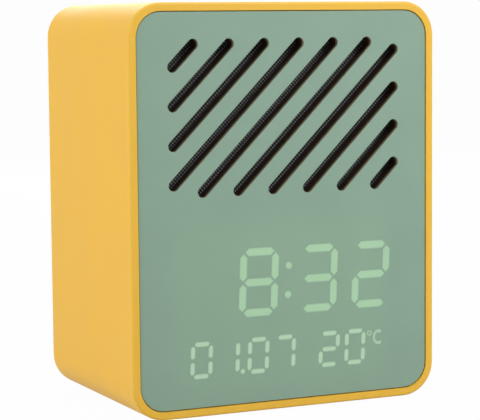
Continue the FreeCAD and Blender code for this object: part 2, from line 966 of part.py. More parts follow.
def make_voice_coil():
    inner, outer = coil_radii()
    start = cone_face_y(cone_throat_radius) - coil_rise
    end = top_plate_front + coil_reach
    return turned([(inner, start), (outer, start), (outer, end), (inner, end)])


def make_speaker_spider():
    outer = basket_floor_radius - basket_wall - spider_gap
    inner = cone_throat_radius + spider_gap
    y = top_plate_front - spider_lift
    return turned([(inner, y), (outer, y), (outer, y + spider_thickness), (inner, y + spider_thickness)])


def ring(inner, outer, near, far):
    """A plain ring on the speaker's axis."""
    return turned([(inner, near), (outer, near), (outer, far), (inner, far)])


def make_top_plate():
    inner = coil_radii()[1] + top_plate_gap
    return ring(inner, top_plate_radius, top_plate_front, magnet_front)


def make_magnet():
    inner = coil_radii()[0] - pole_gap + magnet_bore_gap
    return ring(inner, magnet_radius, magnet_front, yoke_front)


def make_yoke():
    pole = coil_radii()[0] - pole_gap
    centre = Vector(0, 0, speaker_z)
    post = rod(centre + y_axis * top_plate_front, centre + y_axis * yoke_front, pole)
    plate = rod(centre + y_axis * yoke_front, centre + y_axis * yoke_back, yoke_radius)
    return plate.fuse(post).removeSplitter()


def terminal_x():
    return speaker_radius - terminal_inset - terminal_width / 2


def make_speaker_terminals():
    x = terminal_x()
    low = (x - terminal_width / 2, flange_back, speaker_z - terminal_length / 2)
    high = (x + terminal_width / 2, flange_back + terminal_height, speaker_z + terminal_length / 2)
    return block(low, high)


def small_screws(places, seat_y, direction, length):
    """The screws of one board or flange, all alike."""
    size = (board_screw_head, board_screw_head_height, board_screw_radius, length)
    return [screw(Vector(x, seat_y, z), direction, *size) for x, z in places]


def make_speaker_screws():
    length = flange_back - frame_back + frame_thickness / 2 - board_screw_tip_gap
    return small_screws(speaker_ear_places(), flange_back, -y_axis, length)


def make_diffuser_film():
    return mask_block(film_margin, panel_back, frame_front)


def make_segment_mask():
    mask = mask_block(0, frame_front, display_board_front)
    near = frame_front - overrun
    far = display_board_front + overrun
    holes = []
    for cell in display_cells():
        for start, end in cell_segments(*cell):
            holes.append(segment_hole(start, end, cell[4], near, far))
    for x, z, radius in display_dots():
        holes.append(rod(Vector(x, near, z), Vector(x, far, z), radius))
    letter = []
    for start, end in celsius_bars():
        half = small_segment / 2
        letter.append(block((start[0] - half, near, start[1] - half), (end[0] + half, far, end[1] + half)))
    holes.append(letter[0].fuse(letter[1:]).removeSplitter())
    return mask.cut(holes)


def make_display_leds():
    chips = []
    near = display_board_front - led_height
    for cell in display_cells():
        for start, end in cell_segments(*cell):
            x = (start[0] + end[0]) / 2
            z = (start[1] + end[1]) / 2
            level = abs(start[1] - end[1]) < tolerance
            half_x = (led_length if level else led_width) / 2
            half_z = (led_width if level else led_length) / 2
            low = (x - half_x, near, z - half_z)
            chips.append(block(low, (x + half_x, display_board_front, z + half_z)))
    half = led_width / 2
    for x, z, radius in display_dots():
        chips.append(block((x - half, near, z - half), (x + half, display_board_front, z + half)))
    for start, end in celsius_bars():
        x = (start[0] + end[0]) / 2
        z = (start[1] + end[1]) / 2
        chips.append(block((x - half, near, z - half), (x + half, display_board_front, z + half)))
    return chips


def drilled_board(board, places, seat_y):
    """A board across Y with a screw hole at each place."""
    holes = []
    for x, z in places:
        mouth = Vector(x, seat_y - overrun, z)
        holes.append(rod(mouth, mouth + y_axis * (board_thickness + 2 * overrun), board_screw_hole))
    return board.cut(holes)


def make_display_board():
    places = display_post_places()
    low = min(z for x, z in places) - display_board_margin
    high = max(z for x, z in places) + display_board_margin
    half = display_board_half_width
    board = block((-half, display_board_front, low), (half, display_board_back, high))
    return drilled_board(board, places, display_board_front)


def make_display_screws():
    length = display_board_back - frame_back + frame_thickness / 2 - board_screw_tip_gap
    return small_screws(display_post_places(), display_board_back, -y_axis, length)


def make_display_drivers():
    chips = []
    for side in (-1, 1):
        x = side * driver_x
        low = (x - driver_width / 2, display_board_back, driver_z - driver_length / 2)
        high = (x + driver_width / 2, display_board_back + driver_height, driver_z + driver_length / 2)
        chips.append(block(low, high))
    return chips


def button_pill(half_span, radius, low, high):
    """A pill standing on a level plane over the middle of the housing."""
    return pill(Vector(-half_span, 0, low), Vector(half_span, 0, low), radius, z_axis * (high - low))


def make_talk_button():
    cap = button_pill(button_half_span, button_radius, flange_top, button_top)
    cap = soften_top(cap, button_top, button_edge_radius)
    flange = button_pill(button_half_span, button_radius + button_flange, flange_under, flange_top)
    button = cap.fuse(flange)
    pocket_top = button_top - button_skin
    pocket = button_pill(button_pocket_half_span, button_pocket_radius, flange_under - overrun, pocket_top)
    button = button.cut(pocket)
    rib = rod(Vector(0, 0, flange_under - rib_length), Vector(0, 0, pocket_top), rib_radius)
    stems = []
    for side in (-1, 1):
        foot = Vector(side * stem_x, 0, talk_board_under - stem_overhang)
        stems.append(rod(foot, Vector(foot.x, foot.y, flange_under), stem_radius))
    return button.fuse([rib] + stems).removeSplitter()


def make_talk_dome():
    base = Vector(0, 0, talk_board_top)
    dome = Part.makeCone(dome_base_radius, dome_top_radius, dome_height, base)
    inner_base = dome_base_radius - dome_wall
    inner_top = dome_top_radius - dome_wall
    hollow = Part.makeCone(inner_base, inner_top, dome_height - dome_wall, base)
    return dome.cut(hollow)


def make_talk_board():
    low = (-talk_board_half_width, -talk_board_half_depth, talk_board_under)
    high = (talk_board_half_width, talk_board_half_depth, talk_board_top)
    board = block(low, high)
    holes = []
    for side in (-1, 1):
        for x, radius in ((stem_x, stem_radius + stem_gap), (talk_boss_x, board_screw_hole)):
            mouth = Vector(side * x, 0, talk_board_under - overrun)
            holes.append(rod(mouth, mouth + z_axis * (board_thickness + 2 * overrun), radius))
    return board.cut(holes)


def make_talk_board_screws():
    length = board_thickness + talk_screw_length - board_screw_tip_gap
    size = (board_screw_head, board_screw_head_height, board_screw_radius, length)
    seats = [Vector(side * talk_boss_x, 0, talk_board_under) for side in (-1, 1)]
    return [screw(seat, z_axis, *size) for seat in seats]


def key_places():
    return [((index - (key_count - 1) / 2) * key_pitch, key_z) for index in range(key_count)]


def main_post_places():
    return corners(main_post_x, main_board_low + main_post_inset, main_board_high - main_post_inset)


def alarm_slot_half_length():
    return (knob_width + alarm_travel) / 2 + knob_gap


def cell_heights():
    return [bay_z + (index - (cell_count - 1) / 2) * cell_pitch for index in range(cell_count)]


def tab_places():
    """The side and height of the two contact tabs that leave the bay."""
    heights = cell_heights()
    return [(-1, heights[0]), (1, heights[-1])]


def make_rear_cover():
    half = inner_half_width - cover_gap
    low = floor_inside + cover_gap
    high = roof_inside - cover_gap
    plate = rounded_block(half, low, high, cover_front, cover_back, inner_radius - cover_gap)
    plate = soften_at(plate, cover_back, cover_edge_radius)
    past = cover_back + overrun
    added = []
    cutters = []
    for x, z in corners(column_x, column_low, column_high):
        added.append(rod(Vector(x, column_back, z), Vector(x, cover_front, z), column_radius))
        cutters.append(rod(Vector(x, well_seat, z), Vector(x, past, z), well_radius))
        cutters.append(rod(Vector(x, column_back - overrun, z), Vector(x, past, z), screw_hole_radius))
    for x, z in main_post_places():
        added.append(rod(Vector(x, main_board_back, z), Vector(x, cover_front, z), main_post_radius))
        cutters.append(rod(Vector(x, main_board_back, z), Vector(x, cover_front, z), board_pilot_radius))
    for x, z in key_places():
        cutters.append(rod(Vector(x, cover_front - overrun, z), Vector(x, past, z), key_radius + key_gap))
    slide = alarm_slot_half_length()
    tall = knob_height / 2 + knob_gap
    near = cover_front - overrun
    cutters.append(block((alarm_x - slide, near, alarm_z - tall), (alarm_x + slide, past, alarm_z + tall)))
    through = y_axis * (cover_thickness + 2 * overrun)
    start = Vector(socket_x - socket_half_span, near, socket_z)
    end = Vector(socket_x + socket_half_span, near, socket_z)
    cutters.append(pill(start, end, socket_radius + socket_hole_gap, through))
    for index in range(vent_count):
        x = (index - (vent_count - 1) / 2) * vent_pitch
        start = Vector(x, near, vent_z - vent_length / 2)
        end = Vector(x, near, vent_z + vent_length / 2)
        cutters.append(pill(start, end, vent_radius, through))
    door_x = door_half_length + door_gap
    door_z = door_half_height + door_gap
    aperture = block((-door_x, near, bay_z - door_z), (door_x, past, bay_z + door_z))
    notch_top = bay_z + door_z + notch_height
    notch = block((-notch_half_width, cover_back - notch_depth, bay_z), (notch_half_width, past, notch_top))
    plate = plate.cut([aperture, notch])
    bay_x = bay_half_length + bay_end_wall
    bay_top = bay_z + bay_outer_half_height
    bay_under = bay_z - bay_outer_half_height
    added.append(block((-bay_x, bay_floor - bay_front_wall, bay_under), (bay_x, ledge_back, bay_top)))
    ledge_x = door_x + ledge_overlap
    added.append(block((-ledge_x, ledge_back - ledge_thickness, bay_under), (ledge_x, ledge_back, bay_top)))
    low_corner = (-bay_half_length, bay_floor, bay_z - bay_half_height)
    cutters.append(block(low_corner, (bay_half_length, past, bay_z + bay_half_height)))
    for side, z in tab_places():
        y = bay_floor + tab_rise
        wide = contact_thickness / 2 + tab_gap
        tall = tab_half_width + tab_gap
        reach = side * (bay_x + overrun)
        cutters.append(block((side * contact_face, y - wide, z - tall), (reach, y + wide, z + tall)))
    for side in (-1, 1):
        reach = door_half_length + hinge_pin_length + hinge_end_gap
        hole_radius = hinge_pin_radius + hinge_hole_gap
        inner = Vector(side * door_half_length, hinge_y, hinge_z)
        cutters.append(rod(inner, Vector(side * reach, hinge_y, hinge_z), hole_radius))
    return plate.fuse(added).cut(cutters).removeSplitter()


def make_rear_screws():
    shank = pilot_radius - pilot_gap
    size = (column_screw_head, column_screw_head_height, shank, column_screw_length)
    seats = [Vector(x, well_seat, z) for x, z in corners(column_x, column_low, column_high)]
    return [screw(seat, -y_axis, *size) for seat in seats]


def make_battery_door():
    half = door_half_length
    high = bay_z + door_half_height
    plate = block((-half, door_front, hinge_z), (half, door_back, high))
    barrel = rod(Vector(-half, hinge_y, hinge_z), Vector(half, hinge_y, hinge_z), door_thickness / 2)
    reach = half + hinge_pin_length
    pin = rod(Vector(-reach, hinge_y, hinge_z), Vector(reach, hinge_y, hinge_z), hinge_pin_radius)
    grooves = []
    for index in range(grip_count):
        z = high - grip_inset - index * grip_pitch
        start = Vector(-grip_half_width, door_back, z)
        end = Vector(grip_half_width, door_back, z)
        grooves.append(rod(start, end, grip_radius))
    return plate.fuse([barrel, pin]).cut(grooves).removeSplitter()


def make_battery_cells():
    y = bay_floor + cell_rest_gap + cell_radius
    cells = []
    for index, z in enumerate(cell_heights()):
        side = 1 if index % 2 == 0 else -1
        tip = Vector(side * contact_face, y, z)
        shoulder = tip - x_axis * (side * cell_nub_length)
        tail = tip - x_axis * (side * cell_length)
        can = rod(tail, shoulder, cell_radius)
        cells.append(can.fuse(rod(shoulder, tip, cell_nub_radius)))
    return cells


def make_battery_springs():
    y = bay_floor + cell_rest_gap + cell_radius
    springs = []
    for index, z in enumerate(cell_heights()):
        side = 1 if index % 2 == 0 else -1
        base = Vector(-side * contact_face, y, z)
        size = (spring_base_radius, spring_top_radius, spring_length)
        springs.append(Part.makeCone(*size, base, x_axis * side))
    return springs


def make_battery_contacts():
    heights = cell_heights()
    near = bay_floor + contact_low
    far = bay_floor + contact_high
    spans = [(-1, heights[0], heights[0]), (-1, heights[1], heights[2])]
    spans += [(1, heights[0], heights[1]), (1, heights[2], heights[2])]
    plates = []
    for side, low, high in spans:
        inner = side * contact_face
        outer = side * (contact_face + contact_thickness)
        plate = block((inner, near, low - contact_half_width), (outer, far, high + contact_half_width))
        if low == high:
            y = bay_floor + tab_rise
            half = contact_thickness / 2
            reach = side * (bay_half_length + bay_end_wall + tab_reach)
            tab = block((outer, y - half, low - tab_half_width), (reach, y + half, low + tab_half_width))
            plate = plate.fuse(tab)
        plates.append(plate)
    return plates


def make_main_board():
    half = main_board_half_width
    board = block((-half, main_board_front, main_board_low), (half, main_board_back, main_board_high))
    return drilled_board(board, main_post_places(), main_board_front)


def make_main_board_screws():
    length = board_thickness + main_screw_length
    return small_screws(main_post_places(), main_board_front, y_axis, length)


def front_chip(x, z, width, tall, height):
    """A flat component on the front face of the main board."""
    low = (x - width / 2, main_board_front - height, z - tall / 2)
    return block(low, (x + width / 2, main_board_front, z + tall / 2))


def make_crystal():
    y = main_board_front - crystal_radius
    half = crystal_length / 2
    start = Vector(crystal_x - half, y, crystal_z)
    return rod(start, start + x_axis * crystal_length, crystal_radius)


def make_capacitors():
    cans = []
    for index in range(capacitor_count):
        seat = Vector(capacitor_x, main_board_front, capacitor_z + index * capacitor_pitch)
        cans.append(rod(seat, seat - y_axis * capacitor_length, capacitor_radius))
    return cans


def make_board_connectors():
    plugs = [
        (speaker_plug_x, speaker_plug_z, speaker_plug_width),
        (talk_plug_x, talk_plug_z, talk_plug_width),
        (plus_plug_x, plus_plug_z, cell_plug_width),
        (minus_plug_x, minus_plug_z, cell_plug_width),
    ]
    blocks = [front_chip(x, z, width, connector_height, connector_depth) for x, z, width in plugs]
    ribbon_plug = (ribbon_plug_width, ribbon_plug_height, ribbon_plug_depth)
    blocks.append(front_chip(ribbon_x, ribbon_high_z, *ribbon_plug))
    low = (ribbon_x - ribbon_plug_width / 2, display_board_back, ribbon_low_z - ribbon_plug_height / 2)
    high = (
        ribbon_x + ribbon_plug_width / 2,
        display_board_back + ribbon_plug_depth,
        ribbon_low_z + ribbon_plug_height / 2,
    )
    blocks.append(block(low, high))
    return blocks


def make_temperature_sensor():
    bead_y = main_board_back + sensor_reach
    bead = Part.makeSphere(sensor_radius, Vector(0, bead_y, vent_z))
    legs = []
    for side in (-1, 1):
        x = side * sensor_leg_spread
        legs.append(rod(Vector(x, main_board_back, vent_z), Vector(x, bead_y, vent_z), sensor_leg_radius))
    return bead.fuse(legs)


def key_body(x, z):
    """A key cap with its inner flange and its stem, facing the rear."""
    face = cover_back + key_proud
    flange_back_y = cover_front - key_flange_gap
    flange_front_y = flange_back_y - key_flange_thickness
    cap = rod(Vector(x, flange_back_y, z), Vector(x, face, z), key_radius)
    cap = soften_at(cap, face, key_edge_radius)
    flange = rod(Vector(x, flange_front_y, z), Vector(x, flange_back_y, z), key_radius + key_flange)
    stem = rod(Vector(x, plunger_tip(), z), Vector(x, flange_front_y, z), key_stem_radius)
    return cap.fuse([flange, stem]).removeSplitter()


def plunger_tip():
    """How far back a switch plunger reaches, which is where the stem begins."""
    return main_board_back + switch_height + 3 * key_travel


def make_key_switches():
    bodies = []
    top = main_board_back + switch_height
    half = switch_size / 2
    hole_floor = top - plunger_sink - key_travel - plunger_room
    for x, z in key_places():
        body = block((x - half, main_board_back, z - half), (x + half, top, z + half))
        hole = rod(Vector(x, hole_floor, z), Vector(x, top + overrun, z), plunger_radius + plunger_gap)
        bodies.append(body.cut(hole))
    return bodies


def make_plunger(x, z):
    start = main_board_back + switch_height - plunger_sink
    return rod(Vector(x, start, z), Vector(x, plunger_tip(), z), plunger_radius)


def knob_rest_x():
    """The knob rests at the left end of its slot, the off position."""
    return alarm_x - alarm_travel / 2


def make_alarm_knob():
    x = knob_rest_x()
    face = cover_back + knob_proud
    plate_back = cover_front - knob_plate_gap
    plate_front = plate_back - knob_plate_thickness
    wide = knob_width / 2
    tall = knob_height / 2
    knob = block((x - wide, plate_back, alarm_z - tall), (x + wide, face, alarm_z + tall))
    knob = soften_at(knob, face, knob_edge_radius)
    plate_wide = wide + alarm_travel + knob_plate_overhang
    plate_tall = tall + knob_plate_overhang
    low = (x - plate_wide, plate_front, alarm_z - plate_tall)
    plate = block(low, (x + plate_wide, plate_back, alarm_z + plate_tall))
    half = knob_stem_size / 2
    stem_front = main_board_back + slide_body_depth - knob_stem_sink
    stem = block((x - half, stem_front, alarm_z - half), (x + half, plate_front, alarm_z + half))
    return knob.fuse([plate, stem]).removeSplitter()


def make_alarm_switch_body():
    wide = slide_body_width / 2
    tall = slide_body_height / 2
    top = main_board_back + slide_body_depth
    body = block((alarm_x - wide, main_board_back, alarm_z - tall), (alarm_x + wide, top, alarm_z + tall))
    groove_wide = (knob_stem_size + alarm_travel) / 2 + slide_groove_gap
    groove_tall = knob_stem_size / 2 + slide_groove_gap
    low = (alarm_x - groove_wide, top - slide_groove_depth, alarm_z - groove_tall)
    groove = block(low, (alarm_x + groove_wide, top + overrun, alarm_z + groove_tall))
    return body.cut(groove)


def make_power_socket():
    mouth = cover_back - socket_sink
    start = Vector(socket_x - socket_half_span, main_board_back, socket_z)
    end = Vector(socket_x + socket_half_span, main_board_back, socket_z)
    shell = pill(start, end, socket_radius, y_axis * (mouth - main_board_back))
    lift = y_axis * (mouth - socket_cavity_depth - main_board_back)
    through = y_axis * (socket_cavity_depth + overrun)
    cavity = pill(start + lift, end + lift, socket_radius - socket_shell, through)
    floor_y = mouth - socket_cavity_depth
    wide = socket_tongue_width / 2
    tall = socket_tongue_height / 2
    low = (socket_x - wide, floor_y, socket_z - tall)
    tongue = block(low, (socket_x + wide, floor_y + socket_tongue_length, socket_z + tall))
    return shell.cut(cavity).fuse(tongue)


def make_speaker_lead():
    start = Vector(terminal_x(), flange_back + terminal_height, speaker_z)
    end = Vector(speaker_plug_x, connector_face, speaker_plug_z)
    straight = y_axis * (straight_share * (end.y - start.y))
    return lead("speaker_lead", [start, start + straight, end - straight, end], speaker_lead_radius)


def make_talk_lead():
    end = Vector(talk_plug_x, connector_face, talk_plug_z)
    corner = end - y_axis * talk_lead_run
    start = Vector(corner.x, corner.y, talk_board_under)
    return lead("talk_lead", [start, corner, end], wire_radius)


def make_battery_lead():
    y = bay_floor + tab_rise
    reach = bay_half_length + bay_end_wall + tab_reach
    side_x = (reach + inner_half_width) / 2
    forward_y = connector_face - wire_plug_run
    low = cell_heights()[0]
    high = cell_heights()[-1]
    plus_points = [
        Vector(reach, y, high),
        Vector(side_x, y, high),
        Vector(side_x, forward_y, plus_plug_z - plus_lead_drop),
        Vector(plus_plug_x, forward_y, plus_plug_z),
        Vector(plus_plug_x, connector_face, plus_plug_z),
    ]
    minus_points = [
        Vector(-reach, y, low),
        Vector(-side_x, y, low),
        Vector(-side_x, forward_y, low + y - forward_y),
        Vector(minus_plug_x, forward_y, minus_plug_z),
        Vector(minus_plug_x, connector_face, minus_plug_z),
    ]
    wires = [lead("battery_lead plus", plus_points, wire_radius)]
    wires.append(lead("battery_lead minus", minus_points, wire_radius))
    return wires


def make_display_cable():
    start = Vector(ribbon_x, display_board_back + ribbon_plug_depth, ribbon_low_z)
    end = Vector(ribbon_x, main_board_front - ribbon_plug_depth, ribbon_high_z)
    straight = y_axis * (straight_share * (end.y - start.y))
    points = [start, start + straight, end - straight, end]
    print("display_cable")
    path = bent_wire(points)
    half = ribbon_width / 2
    along = (points[1] - points[0]).normalize()
    rise = along.cross(x_axis) * (ribbon_thickness / 2)
    span = x_axis * half
    section = [start - span - rise, start + span - rise, start + span + rise, start - span + rise]
    profile = Part.makePolygon(section + section[:1])
    solid = path.makePipeShell([profile], True, False)
    expected = ribbon_width * ribbon_thickness * path.Length
    print("  length %.1f mm, volume ratio %.4f" % (path.Length, solid.Volume / expected))
    return solid


export("casing", make_casing())
export("feet", make_feet())
export("front_panel", make_front_panel())
export("panel_tape", make_panel_tape())
export("front_frame", make_front_frame())
export("front_screws", make_front_screws())
export("speaker_cloth", make_speaker_cloth())
export("speaker_gasket", make_speaker_gasket())
export("speaker_basket", make_speaker_basket())
export("speaker_surround", make_speaker_surround())
export("speaker_cone", make_speaker_cone())
export("speaker_dust_cap", make_dust_cap())
export("voice_coil", make_voice_coil())
export("speaker_spider", make_speaker_spider())
export("speaker_top_plate", make_top_plate())
export("speaker_magnet", make_magnet())
export("speaker_yoke", make_yoke())
export("speaker_terminals", make_speaker_terminals())
export("speaker_screws", make_speaker_screws())
export("diffuser_film", make_diffuser_film())
export("segment_mask", make_segment_mask())
export("display_leds", make_display_leds())
export("display_board", make_display_board())
export("display_drivers", make_display_drivers())
export("display_screws", make_display_screws())
export("talk_button", make_talk_button())
export("talk_dome", make_talk_dome())
export("talk_board", make_talk_board())
export("talk_board_screws", make_talk_board_screws())
export("rear_cover", make_rear_cover())
export("rear_screws", make_rear_screws())
export("battery_door", make_battery_door())
export("battery_cells", make_battery_cells())
export("battery_springs", make_battery_springs())
export("battery_contacts", make_battery_contacts())
export("main_board", make_main_board())
export("main_board_screws", make_main_board_screws())
speech_size = (speech_chip_size, speech_chip_size, speech_chip_height)
export("speech_chip", front_chip(speech_chip_x, speech_chip_z, *speech_size))
clock_size = (clock_chip_size, clock_chip_size, clock_chip_height)
export("clock_chip", front_chip(clock_chip_x, clock_chip_z, *clock_size))
export("clock_crystal", make_crystal())
export("capacitors", make_capacitors())
export("board_connectors", make_board_connectors())
export("temperature_sensor", make_temperature_sensor())
for name, place in zip(("set", "minus", "plus", "alarm"), key_places()):
    export(name + "_button", key_body(*place))
    export(name + "_plunger", make_plunger(*place))
export("key_switches", make_key_switches())
export("alarm_switch_knob", make_alarm_knob())
export("alarm_switch_body", make_alarm_switch_body())
export("power_socket", make_power_socket())
export("speaker_lead", make_speaker_lead())
export("talk_lead", make_talk_lead())
export("battery_lead", make_battery_lead())
export("display_cable", make_display_cable())
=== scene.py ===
import bmesh
import bpy
import math
from mathutils import Matrix, Vector


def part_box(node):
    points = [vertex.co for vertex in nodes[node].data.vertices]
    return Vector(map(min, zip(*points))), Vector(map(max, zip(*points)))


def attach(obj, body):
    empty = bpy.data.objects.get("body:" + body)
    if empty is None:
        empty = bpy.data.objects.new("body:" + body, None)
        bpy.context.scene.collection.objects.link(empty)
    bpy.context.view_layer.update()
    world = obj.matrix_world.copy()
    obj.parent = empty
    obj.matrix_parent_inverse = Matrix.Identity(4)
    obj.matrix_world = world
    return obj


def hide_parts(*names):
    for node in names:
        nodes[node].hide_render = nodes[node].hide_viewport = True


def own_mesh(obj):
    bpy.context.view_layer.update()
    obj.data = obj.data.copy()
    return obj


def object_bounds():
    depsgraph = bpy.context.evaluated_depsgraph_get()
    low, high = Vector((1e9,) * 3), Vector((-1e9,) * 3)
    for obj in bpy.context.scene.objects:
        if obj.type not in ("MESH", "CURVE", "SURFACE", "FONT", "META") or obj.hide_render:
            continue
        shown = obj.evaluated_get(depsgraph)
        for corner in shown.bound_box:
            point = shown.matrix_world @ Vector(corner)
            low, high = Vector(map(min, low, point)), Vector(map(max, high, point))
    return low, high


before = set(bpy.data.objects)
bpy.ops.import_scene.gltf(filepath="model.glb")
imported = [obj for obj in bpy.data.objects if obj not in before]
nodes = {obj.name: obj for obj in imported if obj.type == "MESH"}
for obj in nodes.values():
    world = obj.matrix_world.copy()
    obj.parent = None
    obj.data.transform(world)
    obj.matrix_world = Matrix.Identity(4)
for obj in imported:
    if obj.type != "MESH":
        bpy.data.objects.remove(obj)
cad_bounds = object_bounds()
mm = 0.001

# Studio: a white room with a paper sweep under and behind the clock, a soft lamp
# in front on the right, one on the left, one above and one behind, and even
# light all round.
sweep_size = 3000 * mm
sweep_bend = 400 * mm
sweep_bend_steps = 12
floor_gap = 0.02 * mm
paper_grey = (0.55, 0.55, 0.55, 1.0)
paper_shown_white = 0.98
air_light = 0.2
air_shown_white = 0.988


def finish_mesh(name, shape, smooth=False):
    """Puts a finished bmesh into the scene as an object at the origin."""
    mesh = bpy.data.meshes.new(name)
    shape.to_mesh(mesh)
    shape.free()
    for face in mesh.polygons:
        face.use_smooth = smooth
    piece = bpy.data.objects.new(name, mesh)
    bpy.context.scene.collection.objects.link(piece)
    return piece


def made_points(result):
    """The points among all that a bmesh operator made."""
    return [item for item in result["geom"] if isinstance(item, bmesh.types.BMVert)]


def new_material(name):
    """An empty node material, with its node tree and its output."""
    material = bpy.data.materials.new(name)
    material.use_nodes = True
    tree = material.node_tree
    tree.nodes.clear()
    return material, tree, tree.nodes.new("ShaderNodeOutputMaterial")


def calculate(tree, operation, first, second=None):
    """One step of arithmetic on outputs or numbers."""
    step = tree.nodes.new("ShaderNodeMath")
    step.operation = operation
    for value, socket in zip((first, second), step.inputs):
        if isinstance(value, bpy.types.NodeSocket):
            tree.links.new(value, socket)
        elif value is not None:
            socket.default_value = value
    return step.outputs[0]


def shown_directly(tree):
    """1 for the camera, for gloss and for glass, and 0 for light that falls on the clock."""
    path = tree.nodes.new("ShaderNodeLightPath")
    shown = calculate(tree, "MAXIMUM", path.outputs["Is Camera Ray"], path.outputs["Is Glossy Ray"])
    return calculate(tree, "MAXIMUM", shown, path.outputs["Is Transmission Ray"])


def paper_material():
    """White to the camera, to gloss and to glass, and pale paper to the lamps."""
    material, tree, output = new_material("white_paper")
    paper = tree.nodes.new("ShaderNodeBsdfDiffuse")
    paper.inputs["Color"].default_value = paper_grey
    shown = tree.nodes.new("ShaderNodeEmission")
    mix = tree.nodes.new("ShaderNodeMixShader")
    share = calculate(tree, "MULTIPLY", shown_directly(tree), paper_shown_white)
    tree.links.new(share, mix.inputs["Fac"])
    tree.links.new(paper.outputs[0], mix.inputs[1])
    tree.links.new(shown.outputs[0], mix.inputs[2])
    tree.links.new(mix.outputs[0], output.inputs["Surface"])
    return material


sweep = bmesh.new()
bmesh.ops.create_grid(sweep, x_segments=1, y_segments=1, size=sweep_size / 2)
rear_edge = [edge for edge in sweep.edges if all(vert.co.y > 0 for vert in edge.verts)]
bmesh.ops.spin(
    sweep, geom=rear_edge, cent=(0, sweep_size / 2, sweep_bend), axis=(1, 0, 0),
    angle=math.pi / 2, steps=sweep_bend_steps,
)
bend_top = sweep_bend - mm
top_edge = [edge for edge in sweep.edges if all(vert.co.z > bend_top for vert in edge.verts)]
wall = bmesh.ops.extrude_edge_only(sweep, edges=top_edge)
bmesh.ops.translate(sweep, verts=made_points(wall), vec=(0, 0, sweep_size / 2))
bmesh.ops.translate(sweep, verts=sweep.verts, vec=(0, 0, -floor_gap))
bmesh.ops.recalc_face_normals(sweep, faces=sweep.faces)
backdrop = finish_mesh("paper_sweep", sweep, smooth=True)
backdrop.data.materials.append(paper_material())

# Each lamp has its place and its width in millimetres, and its watts.
soft_lamps = {
    "lamp_front": ((290, -425, 415), 320, 2.65),
    "lamp_left": ((-900, -100, 230), 800, 7.1),
    "lamp_top": ((0, 150, 1100), 900, 3.0),
    "lamp_back": ((250, 700, 420), 600, 3.5),
}
clock_middle = (cad_bounds[0] + cad_bounds[1]) / 2
for name, (place, width, watts) in soft_lamps.items():
    lamp = bpy.data.lights.new(name, "AREA")
    lamp.size = width * mm
    lamp.energy = watts
    holder = bpy.data.objects.new(name, lamp)
    bpy.context.scene.collection.objects.link(holder)
    holder.location = Vector(place) * mm
    holder.rotation_euler = (clock_middle - holder.location).to_track_quat("-Z", "Y").to_euler()

world = bpy.data.worlds.new("studio_air")
world.use_nodes = True
air = world.node_tree
background = air.nodes["Background"]
background.inputs["Color"].default_value = (1.0, 1.0, 1.0, 1.0)
air_shown = calculate(air, "MULTIPLY", shown_directly(air), air_shown_white - air_light)
air.links.new(calculate(air, "ADD", air_shown, air_light), background.inputs["Strength"])
bpy.context.scene.world = world
bpy.context.scene.view_settings.view_transform = "Standard"

camera_place = Vector((-216.92, -463.05, 100.3)) * mm
camera_yaw = math.radians(25.164)
camera_pitch = math.radians(5.624)
camera_roll = math.radians(-0.522)
film_width = 36.0
lens_length = 141.75
nearest_shown = 10 * mm
ahead = Vector((
    math.sin(camera_yaw) * math.cos(camera_pitch),
    math.cos(camera_yaw) * math.cos(camera_pitch),
    -math.sin(camera_pitch),
))
level_right = Vector((math.cos(camera_yaw), -math.sin(camera_yaw), 0))
level_up = level_right.cross(ahead)
camera_right = math.cos(camera_roll) * level_right + math.sin(camera_roll) * level_up
camera_up = math.cos(camera_roll) * level_up - math.sin(camera_roll) * level_right
lens = bpy.data.cameras.new("camera")
lens.sensor_width = film_width
lens.lens = lens_length
lens.clip_start = nearest_shown
camera = bpy.data.objects.new("camera", lens)
bpy.context.scene.collection.objects.link(camera)
turned = Matrix((camera_right, camera_up, -ahead)).transposed()
camera.matrix_world = Matrix.Translation(camera_place) @ turned.to_4x4()
bpy.context.scene.camera = camera

# Casing: one deep shell, moulded in warm yellow ABS with a fine matt grain and
# open in front and behind. Its outer edges are rubbed a little smoother.
yellow = (0.85, 0.485, 0.039, 1.0)
yellow_rubbed = (0.88, 0.525, 0.055, 1.0)
casing_low, casing_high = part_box("casing")
coarse_grain_share = 0.6
rubbed_width = 2.5 * mm
rubbed_colour_share = 0.5
rubbed_gloss = 0.06


def dress(material, *names):
    """Gives CAD nodes their material."""
    for name in names:
        for socket in nodes[name].material_slots:
            socket.material = material


def new_surface(name):
    """A node material of one shader, with its node tree and that shader."""
    material, tree, output = new_material(name)
    shader = tree.nodes.new("ShaderNodeBsdfPrincipled")
    tree.links.new(shader.outputs[0], output.inputs["Surface"])
    return material, tree, shader


def noise(tree, scale, detail=2.0, stretch=(1.0, 1.0, 1.0)):
    """A noise on object coordinates; scale is in waves per metre."""
    place = tree.nodes.new("ShaderNodeTexCoord")
    mapping = tree.nodes.new("ShaderNodeMapping")
    mapping.inputs["Scale"].default_value = stretch
    pattern = tree.nodes.new("ShaderNodeTexNoise")
    pattern.inputs["Scale"].default_value = scale
    pattern.inputs["Detail"].default_value = detail
    tree.links.new(place.outputs["Object"], mapping.inputs["Vector"])
    tree.links.new(mapping.outputs["Vector"], pattern.inputs["Vector"])
    return pattern.outputs["Fac"]


def spread(tree, value, low, high, start=0.3, end=0.7):
    """Maps a value from start..end to low..high, and clamps it."""
    remap = tree.nodes.new("ShaderNodeMapRange")
    remap.inputs["From Min"].default_value = start
    remap.inputs["From Max"].default_value = end
    remap.inputs["To Min"].default_value = low
    remap.inputs["To Max"].default_value = high
    tree.links.new(value, remap.inputs["Value"])
    return remap.outputs["Result"]


